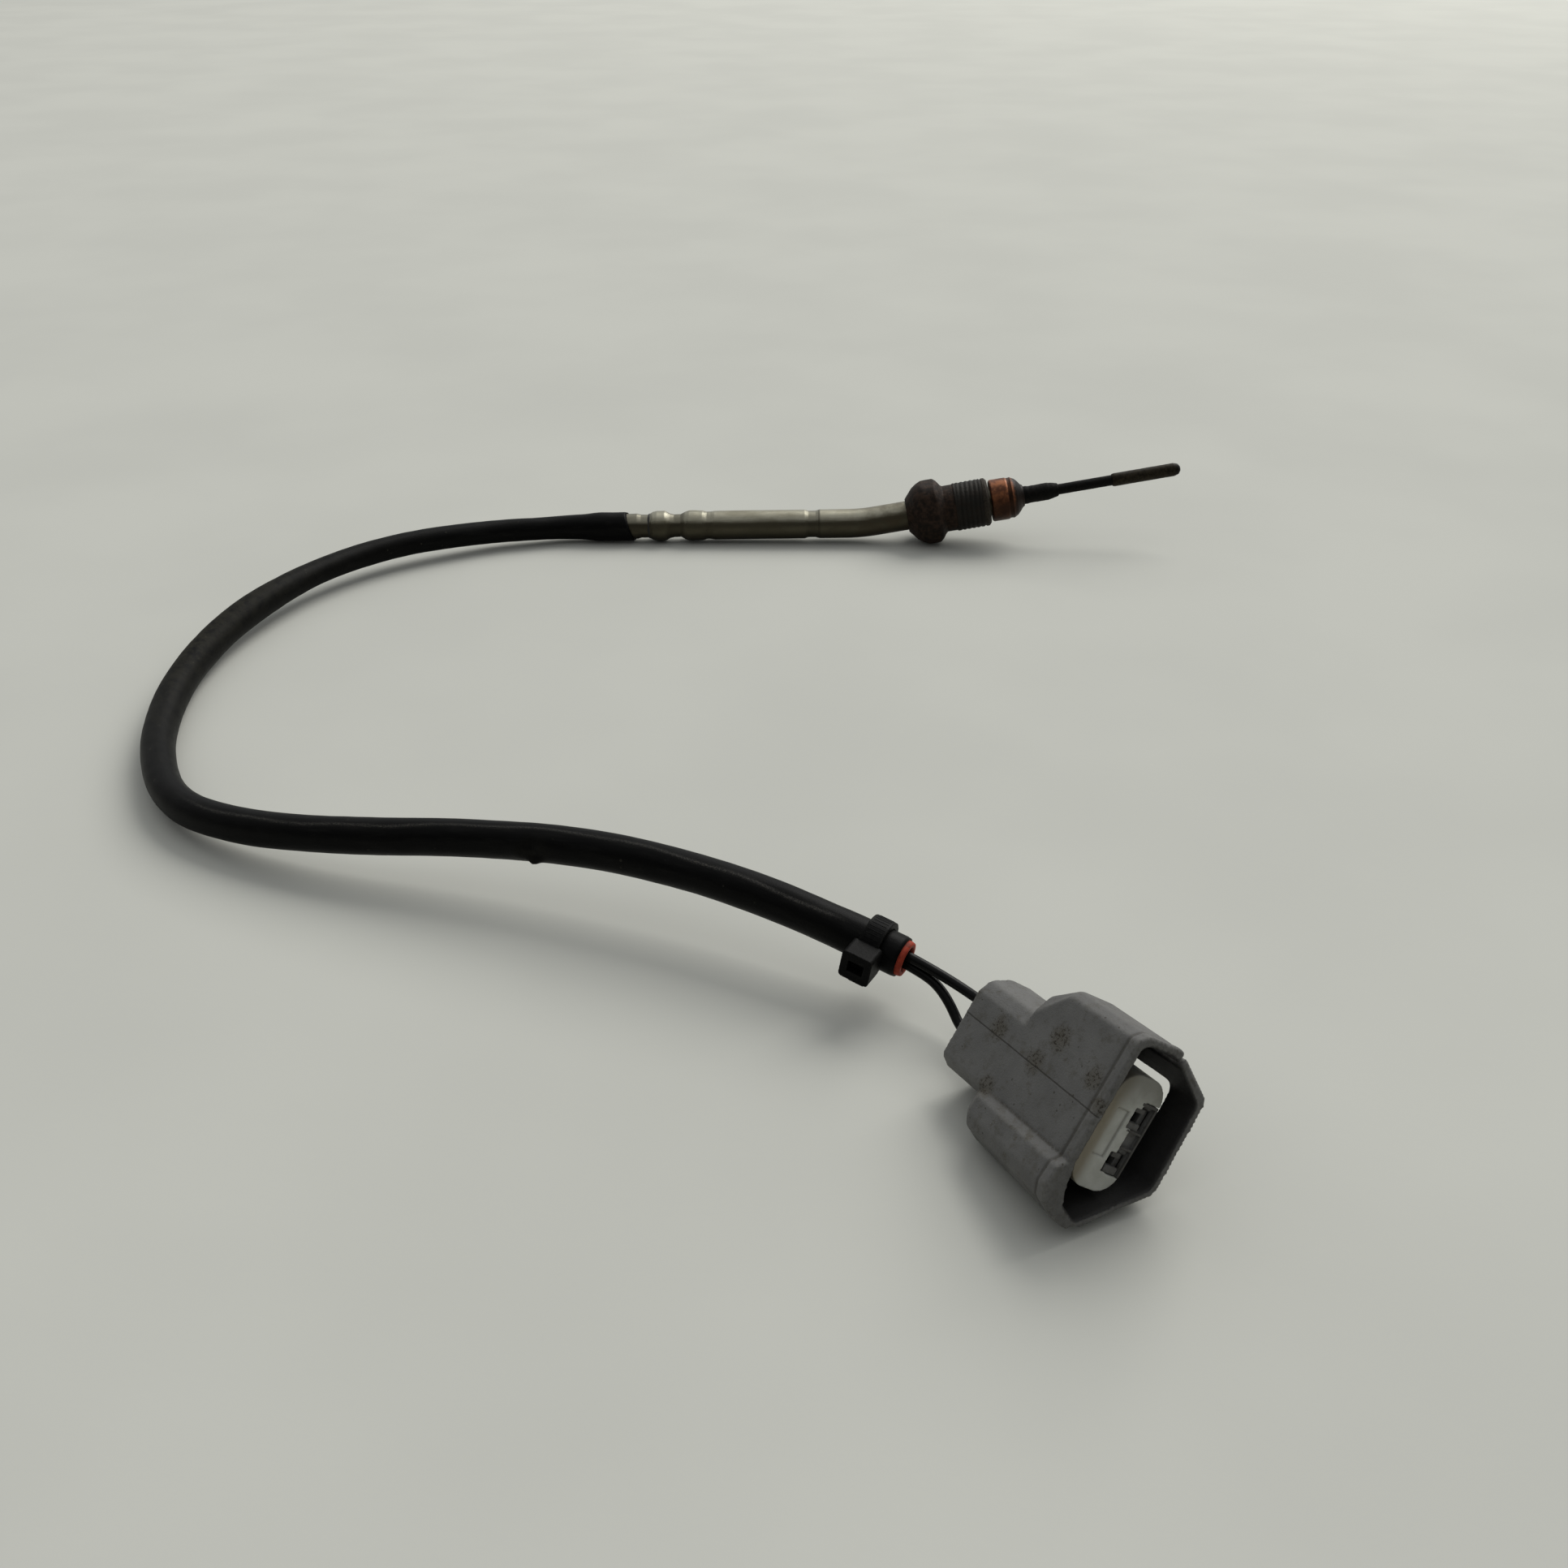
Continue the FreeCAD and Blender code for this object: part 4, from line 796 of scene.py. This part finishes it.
def tube_along(name, centres, rows, angle, radius, slide=0.0):
    """Skin of a tube: a ring at each row's centre, with angle 0 up, its points slid along the line."""
    ahead = np.gradient(centres, axis=0)
    ahead /= np.linalg.norm(ahead, axis=1)[:, None]
    sides = np.cross(ahead, (0.0, 0.0, 1.0))
    sides /= np.linalg.norm(sides, axis=1)[:, None]
    ups = np.cross(sides, ahead)
    grid = centres[rows][:, None, :] + radius[..., None] * (
        np.sin(angle)[..., None] * sides[rows][:, None, :] + np.cos(angle)[..., None] * ups[rows][:, None, :])
    grid = grid + (slide + 0 * radius)[..., None] * ahead[rows][:, None, :]
    return skin(name, grid * MM, loop=True)


SEAM_ANGLE = math.radians(20)
BUMP_RUN, BUMP_ANGLE = 286.0, math.radians(118)


def slim_stretch(along):
    """How far the sleeve is drawn in between the neck and its left bend."""
    return SLEEVE_SLIMMED * step_up(along, 10.0, 26.0) * (1 - step_up(along, 88.0, 112.0))


def add_sleeve():
    """Vinyl sleeve: opened over the neck tube, slightly flattened, lapped along a ragged seam."""
    centres, run = sleeve_points(0.7)
    length = run[-1]
    count = len(centres)
    outer_rows = np.arange(count)
    inner_rows = np.arange(count - 1, -1, -3)
    rows = np.concatenate([outer_rows, inner_rows])
    along = run[rows][:, None]
    outside = (np.arange(len(rows)) < count)[:, None]
    angle = angles_round(72)
    grip = 1 - step_up(along, 9.0, 15.0)
    slim = slim_stretch(along)
    wall_out = SLEEVE_RADIUS + (SLEEVE_GRIP_RADIUS - SLEEVE_RADIUS) * grip - slim
    wall_in = SLEEVE_BORE + (SLEEVE_GRIP_BORE - SLEEVE_BORE) * grip - slim
    free = step_up(along, 16.0, 30.0) * (1 - step_up(along, length - 14.0, length - 9.0))
    loose = swells(along, angle, 0.10, 26.0, 2) + swells(along, angle, 0.05, 7.0, 12)
    flat = 0.10 * np.cos(2 * (angle - 0.4)) * step_up(along, 90, 130)
    seam = SEAM_ANGLE + 0.12 * np.sin(along / 17.0) + 0.05 * np.sin(along / 3.1)
    past = (angle - seam + math.pi) % FULL_TURN - math.pi
    lapped = step_up(along, 205, 222) * free
    lap_step = 0.16 * (step_up(past, -0.05, 0.05) - step_up(past, 0.5, 1.5)) * lapped

    def dab(back, width, turned, spread):
        """Soft spot near the bump, from 0 to 1, set back along the sleeve and turned round it."""
        off_along, off_round = (along - BUMP_RUN + back) / width, (angle - BUMP_ANGLE + turned) / spread
        return np.exp(-off_along ** 2 - off_round ** 2)

    bump = dab(0, 1.1, 0, 0.28) + 0.35 * dab(2.6, 1.6, 0.4, 0.5) - 0.3 * dab(0.2, 1.0, 0.85, 0.5)
    lip = -0.12 * (1 - step_up(along, 0.0, 0.35)) - 0.10 * step_up(along, length - 0.3, length)
    grip_swell = swells(along, angle, 0.10, 9.0, 22) * grip * step_up(along, 1.0, 3.0)
    dressed = wall_out + free * (loose + flat) + lap_step + bump * (along > 150) + lip + grip_swell
    plain_in = wall_in + free * (loose * 0.6 + flat)
    radius = np.where(outside, dressed, plain_in) + 0 * angle
    slant = 1.1 * (1 + np.cos(angle)) * (1 - step_up(along, 0.0, 9.0))
    mesh = tube_along("sleeve", centres, rows, angle, radius, slant)
    unrolled = np.stack([along + 0 * radius, radius * np.sin(angle), radius * np.cos(angle)], axis=-1)
    set_attribute(mesh, "unrolled", unrolled.reshape(-1, 3))
    dusty = np.exp(-((along - 128.0) / 42.0) ** 2) * (0.45 + 0.55 * np.cos(angle - 0.5)).clip(0, 1)
    dusty = dusty + 0.35 * dab(0, 3.0, 0.5, 0.7)
    set_attribute(mesh, "dusty", np.clip(dusty + 0 * radius, 0, 1).ravel())
    # Mask of the painted highlight along the seam.
    ragged = np.exp(-(past / 0.09) ** 2) * lapped
    set_attribute(mesh, "painted_seam_highlight", (ragged + 0 * radius).ravel())
    sleeve = add_object("sleeve", mesh, "sleeve_vinyl")
    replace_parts(sleeve, "lead_sleeve")
    return sleeve, centres, length


def add_inner_tube():
    """Orange tube inside the sleeve, its end standing out of the sleeve's as an uneven ring."""
    ahead = np.array(SLEEVE_ROUTE[-1]) - np.array(SLEEVE_ROUTE[-2])
    ahead /= np.linalg.norm(ahead)
    centres, run = sleeve_points(1.0)
    keep = run > INNER_TUBE_FROM
    centres = np.vstack([centres[keep], centres[-1] + ahead * 0.45, centres[-1] + ahead * 0.9])
    along = np.concatenate([run[keep], run[-1] + np.array((0.45, 0.9))])
    count = len(centres)
    rows = np.concatenate([np.arange(count), np.arange(count - 1, -1, -1)])
    outside = (np.arange(len(rows)) < count)[:, None]
    angle = angles_round(64)
    near_end = (rows > count - 30)[:, None]
    uneven = swells(rows[:, None] * 1.0, angle, 0.10, 9.0, 17) * near_end
    radius = np.where(outside, INNER_TUBE_RADIUS + 0.4 * uneven, INNER_TUBE_BORE + uneven)
    radius = radius - slim_stretch(along[rows])[:, None]
    radius = radius - np.where(outside & (rows == count - 1)[:, None], 0.12, 0)
    mesh = tube_along("inner_tube_skin", centres, rows, angle, radius)
    inner = add_object("inner_sleeve", mesh, "orange_silicone")
    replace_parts(inner, "inner_tube")
    return inner, centres


def add_wires():
    wires = []
    for number, up in enumerate((WIRE_OFFSET, -WIRE_OFFSET)):
        corners = [BEND_CORNER] + SLEEVE_ROUTE[1:-1] + [WIRE_LEAVES]
        points = [WIRE_STARTS[number]] + [(x, y, z + up) for x, y, z in corners] + WIRE_ENDS[number]
        curve = route_curve(f"wire_{number + 1}", points)
        curve.bevel_depth = WIRE_RADIUS * MM
        curve.bevel_resolution = 5
        curve.resolution_u = 12
        curve.use_fill_caps = True
        wire = add_object(f"wire_{number + 1}", curve, "wire_insulation")
        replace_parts(wire, f"lead_wire_{number + 1}")
        wires.append((wire, points, points_along(points, 0.7)[1][-1]))
    return wires


# Moulded pieces

def neighbour_mean(points, edges):
    """Mean of each vertex's neighbours."""
    ends = np.concatenate([edges[:, 0], edges[:, 1]])
    others = np.concatenate([edges[:, 1], edges[:, 0]])
    tally = np.bincount(ends, minlength=len(points)).clip(1)[:, None]
    total = np.stack([np.bincount(ends, weights=points[others, k], minlength=len(points))
                      for k in range(3)], 1)
    return total / tally


def moulded_mesh(node, name, voxel, passes, reach):
    """Copy of a solid with its edges softened as a mould leaves them, and where they wear and where they sit
    in hollows.
    """
    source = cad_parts[node].data.copy()
    shell = linked(name, source)
    weld = shell.modifiers.new("merge", "WELD")
    weld.merge_threshold = 2e-6
    remesh = shell.modifiers.new("remesh", "REMESH")
    remesh.mode = "VOXEL"
    remesh.voxel_size = voxel * MM
    graph = bpy.context.evaluated_depsgraph_get()
    mesh = bpy.data.meshes.new_from_object(shell.evaluated_get(graph))
    tree = BVHTree.FromPolygons([v.co for v in source.vertices], [p.vertices[:] for p in source.polygons])
    bpy.data.objects.remove(shell)
    count = len(mesh.vertices)
    points = np.empty(count * 3)
    mesh.vertices.foreach_get("co", points)
    points = points.reshape(-1, 3)
    edges = np.empty(len(mesh.edges) * 2, dtype=np.int64)
    mesh.edges.foreach_get("vertices", edges)
    edges = edges.reshape(-1, 2)
    smooth = points
    for _ in range(passes):
        smooth = 0.5 * smooth + 0.5 * neighbour_mean(smooth, edges)
    found = [tree.find_nearest(Vector(p)) for p in smooth]
    nearest = np.array([f[0][:] for f in found])
    normals = np.array([f[1][:] for f in found])
    off = smooth - nearest
    gap = np.linalg.norm(off, axis=1)
    share = step_up(gap, 0.02 * MM, 0.07 * MM)[:, None]
    final = nearest + off * share
    mesh.vertices.foreach_set("co", final.ravel())
    wide = smooth
    for _ in range(passes * 2):
        wide = 0.5 * wide + 0.5 * neighbour_mean(wide, edges)
    sink = np.einsum("ij,ij->i", wide - nearest, normals)
    set_attribute(mesh, "wear", np.clip(-sink / (reach * MM), 0, 1))
    set_attribute(mesh, "hollowness", np.clip(sink / (reach * MM), 0, 1))
    mesh.shade_smooth()
    mesh.name = name
    return mesh, final


# Middle of the plug's mouth, as (across, deep)
SHROUD_MIDDLE = (-4.3, 8.3)


def add_housing():
    """Plug's housing, with painted near-black shade on the faces inside its shroud, and a groove and lip
    round its rim.
    """
    mesh, points = moulded_mesh("connector_housing", "housing_skin", voxel=0.29, passes=3, reach=0.22)
    normals = np.empty(len(points) * 3)
    mesh.vertices.foreach_get("normal", normals)
    normals = normals.reshape(-1, 3)
    local = moved(points, PLUG.inverted())
    station, across, deep = local[:, 0], local[:, 1], -local[:, 2]
    outward = np.stack([across, deep], 1) - SHROUD_MIDDLE
    plug_turn = np.array(PLUG.to_3x3().normalized())
    local_normals = normals @ plug_turn
    facing_in = -(outward[:, 0] * local_normals[:, 1] - outward[:, 1] * local_normals[:, 2])
    facing_in /= np.linalg.norm(outward, axis=1) + 1e-6
    # Faces inside the shroud, for the finish's painted near-black shade.
    inside = step_up(facing_in, 0.1, 0.5) * step_up(station, -15.6, -13.0)
    set_attribute(mesh, "inside", inside)
    lip = 0.10 * step_up(station, 0.3 - RIM_GROOVE, 0.8 - RIM_GROOVE) \
        - 0.16 * np.exp(-((station + RIM_GROOVE) / 0.32) ** 2)
    lip *= (1 - inside) * (np.abs(local_normals[:, 0]) < 0.6)
    raised = points + normals * (lip * MM)[:, None]
    mesh.vertices.foreach_set("co", raised.ravel())
    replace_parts(add_object("housing", mesh, "grey_plastic"), "connector_housing")


def add_holder():
    mesh, _ = moulded_mesh("front_holder", "holder_skin", voxel=0.14, passes=3, reach=0.12)
    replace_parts(add_object("holder", mesh, "white_plastic"), "front_holder")


# Opposite corners of each block, as (station, across, deep)
INSERT_LIPS = [
    ((-3.0, -9.35, 11.75), (-1.95, 1.95, 12.15)), ((-3.0, 1.50, 8.90), (-1.95, 1.95, 12.15)),
    ((-3.0, -2.75, 8.60), (-2.0, -2.35, 12.15)), ((-3.0, -5.35, 9.40), (-2.0, -4.95, 12.15)),
    ((-2.9, 0.25, 8.55), (-2.2, 0.95, 10.30)), ((-3.4, -2.35, 8.45), (-2.3, -1.35, 10.90)),
    ((-4.2, -2.30, 10.85), (-3.2, 0.90, 11.85)), ((-2.9, -6.85, 8.90), (-2.2, -6.05, 10.50)),
    ((-3.4, -9.30, 8.90), (-2.3, -8.20, 11.50)), ((-4.2, -9.30, 10.90), (-3.2, -6.10, 11.85))]


def add_insert_lips():
    """Frames, tabs and ledges moulded round the two ways in."""
    points, faces = [], []
    for low, high in INSERT_LIPS:
        first = len(points)
        points += [((low, high)[i][0], (low, high)[j][1], -(low, high)[k][2])
                   for i in (0, 1) for j in (0, 1) for k in (0, 1)]
        faces += [[first + c for c in face] for face in
                  ((0, 4, 5, 1), (2, 3, 7, 6), (0, 2, 6, 4), (1, 5, 7, 3), (0, 1, 3, 2), (4, 6, 7, 5))]
    source = bpy.data.meshes.new("lips_source")
    source.from_pydata([tuple(PLUG @ Vector(p)) for p in points], [], faces)
    block = linked("lips_source", source)
    soften = block.modifiers.new("soften", "BEVEL")
    soften.width = 0.10 * MM
    soften.segments = 3
    mesh = bpy.data.meshes.new_from_object(block.evaluated_get(bpy.context.evaluated_depsgraph_get()))
    bpy.data.objects.remove(block)
    mesh.shade_smooth()
    set_attribute(mesh, "wear", np.full(len(mesh.vertices), 0.3))
    add_object("insert_lips", mesh, "grey_plastic")


# Cable tie

TIE_FROM_END = 5.0
BAND_RADIUS = 4.65
RIB_COUNT, RIB_FIRST, RIB_STEP = 26, math.radians(-42), math.radians(9.0)
RIB_LENGTH, RIB_RADIUS = 2.6, 0.07


def tie_frame():
    end, before = Vector(SLEEVE_ROUTE[-1]), Vector(SLEEVE_ROUTE[-2])
    along = (end - before).normalized()
    side = Vector((0, 0, 1)).cross(along).normalized()
    up = along.cross(side)
    centre = end - along * TIE_FROM_END
    turn = Matrix((along, side, up)).transposed()
    return centre, turn


def rib_tree():
    """Node tree that lays small rods round a band, one at each step of angle."""
    tree = bpy.data.node_groups.new("band_ribs", "GeometryNodeTree")
    tree.interface.new_socket("Geometry", in_out="OUTPUT", socket_type="NodeSocketGeometry")
    kinds = {"Count": "Int", "Band Radius": "Float", "First Angle": "Float", "Angle Step": "Float",
             "Rib Length": "Float", "Rib Radius": "Float", "Centre": "Vector", "Turn": "Vector",
             "Material": "Material"}
    for name, kind in kinds.items():
        tree.interface.new_socket(name, in_out="INPUT", socket_type=f"NodeSocket{kind}")
    inputs = tree.nodes.new("NodeGroupInput").outputs

    def add(kind, **values):
        return put_node(tree, kind, None, values)

    def maths(operation, *values):
        return put_node(tree, "ShaderNodeMath", {"operation": operation}, dict(enumerate(values)))

    angle = maths("ADD", maths("MULTIPLY", add("GeometryNodeInputIndex"), inputs["Angle Step"]),
                  inputs["First Angle"])
    across = maths("MULTIPLY", maths("SINE", angle), inputs["Band Radius"])
    high = maths("MULTIPLY", maths("COSINE", angle), inputs["Band Radius"])
    spot = add("ShaderNodeCombineXYZ", Y=across, Z=high)
    line = add("GeometryNodeMeshLine", Count=inputs["Count"])
    dots = add("GeometryNodeSetPosition", Geometry=line, Position=spot)
    rod = add("GeometryNodeMeshCylinder", Vertices=8, Radius=inputs["Rib Radius"], Depth=inputs["Rib Length"])
    rod = add("GeometryNodeTransform", Geometry=rod, Rotation=(0.0, math.pi / 2, 0.0))
    roll = add("ShaderNodeCombineXYZ", X=maths("MULTIPLY", angle, -1.0))
    ribs = add("GeometryNodeInstanceOnPoints", Points=dots, Instance=rod, Rotation=roll)
    ribs = add("GeometryNodeTransform", Geometry=ribs, Translation=inputs["Centre"], Rotation=inputs["Turn"])
    ribs = add("GeometryNodeRealizeInstances", Geometry=ribs)
    ribs = add("GeometryNodeSetMaterial", Geometry=ribs, Material=inputs["Material"])
    tree.links.new(ribs, tree.nodes.new("NodeGroupOutput").inputs["Geometry"])
    return tree


def from_tree(name, tree, values, finish):
    """Plain mesh piece from a node tree and the values of its named inputs."""
    holder = linked(name + "_source", bpy.data.meshes.new(name + "_source"))
    modifier = holder.modifiers.new("nodes", "NODES")
    modifier.node_group = tree
    for item in tree.interface.items_tree:
        if item.in_out == "INPUT" and item.name in values:
            modifier[item.identifier] = values[item.name]
    graph = bpy.context.evaluated_depsgraph_get()
    mesh = bpy.data.meshes.new_from_object(holder.evaluated_get(graph))
    holder.modifiers.remove(modifier)
    bpy.data.objects.remove(holder)
    return add_object(name, mesh, finish)


def add_tie():
    mesh, _ = moulded_mesh("cable_tie", "tie_skin", voxel=0.11, passes=3, reach=0.10)
    tie = add_object("tie", mesh, "tie_nylon")
    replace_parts(tie, "cable_tie")
    centre, turn = tie_frame()
    ribs = from_tree("tie_ribs", rib_tree(), {
        "Count": RIB_COUNT, "Band Radius": (BAND_RADIUS - 0.02) * MM, "First Angle": RIB_FIRST,
        "Angle Step": RIB_STEP, "Rib Length": RIB_LENGTH * MM, "Rib Radius": RIB_RADIUS * MM,
        "Centre": centre * MM, "Turn": turn.to_euler("XYZ"), "Material": finishes["tie_nylon"]}, "tie_nylon")
    return tie, ribs


# The object, piece by piece

def dress_hidden_nodes():
    """Finishes of the nodes that keep their solids."""
    for slot, nodes in {
        "black_rubber": ["tube_grommet", "ring_seal", "wire_seal_1", "wire_seal_2"],
        "mineral_powder": ["sheath_core", "tip_cement"],
        "element_ceramic": ["sensing_element"],
        "tinned_brass": ["terminal_1", "terminal_2", "splice_crimp_1", "splice_crimp_2", "sheath_wire_1",
                         "sheath_wire_2"],
        "orange_silicone": ["splice_insulator"],
    }.items():
        for node in nodes:
            coat(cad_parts[node].data, slot)


def add_floor():
    half = 4.0
    mesh = bpy.data.meshes.new("floor")
    corners = [(-half, -half, 0), (half, -half, 0), (half, half, 0), (-half, half, 0)]
    mesh.from_pydata(corners, [], [(0, 1, 2, 3)])
    coat(mesh, "floor")
    floor = linked("floor", mesh)


add_camera()
sleeve, sleeve_line, sleeve_length = add_sleeve()
inner_tube, inner_line = add_inner_tube()
wires = add_wires()
tie, ribs = add_tie()
add_gland_nut()
add_steel_tube()
add_collar()
add_sheaths()
add_housing()
add_holder()
add_insert_lips()
dress_hidden_nodes()
add_floor()

add_room()
add_lamp("window", watts=190.0, size=3.4, azimuth=34, elevation=44, distance=5.0, colour=(1.0, 0.985, 0.95))
bpy.context.scene.view_settings.view_transform = "Standard"

sleeve_line[0] * MM
[tuple(p * MM) for p in sleeve_line]
inner_line[0] * MM
[tuple(p * MM) for p in inner_line]
for wire, points, wire_length in wires:
    [c * MM for c in points[0]]
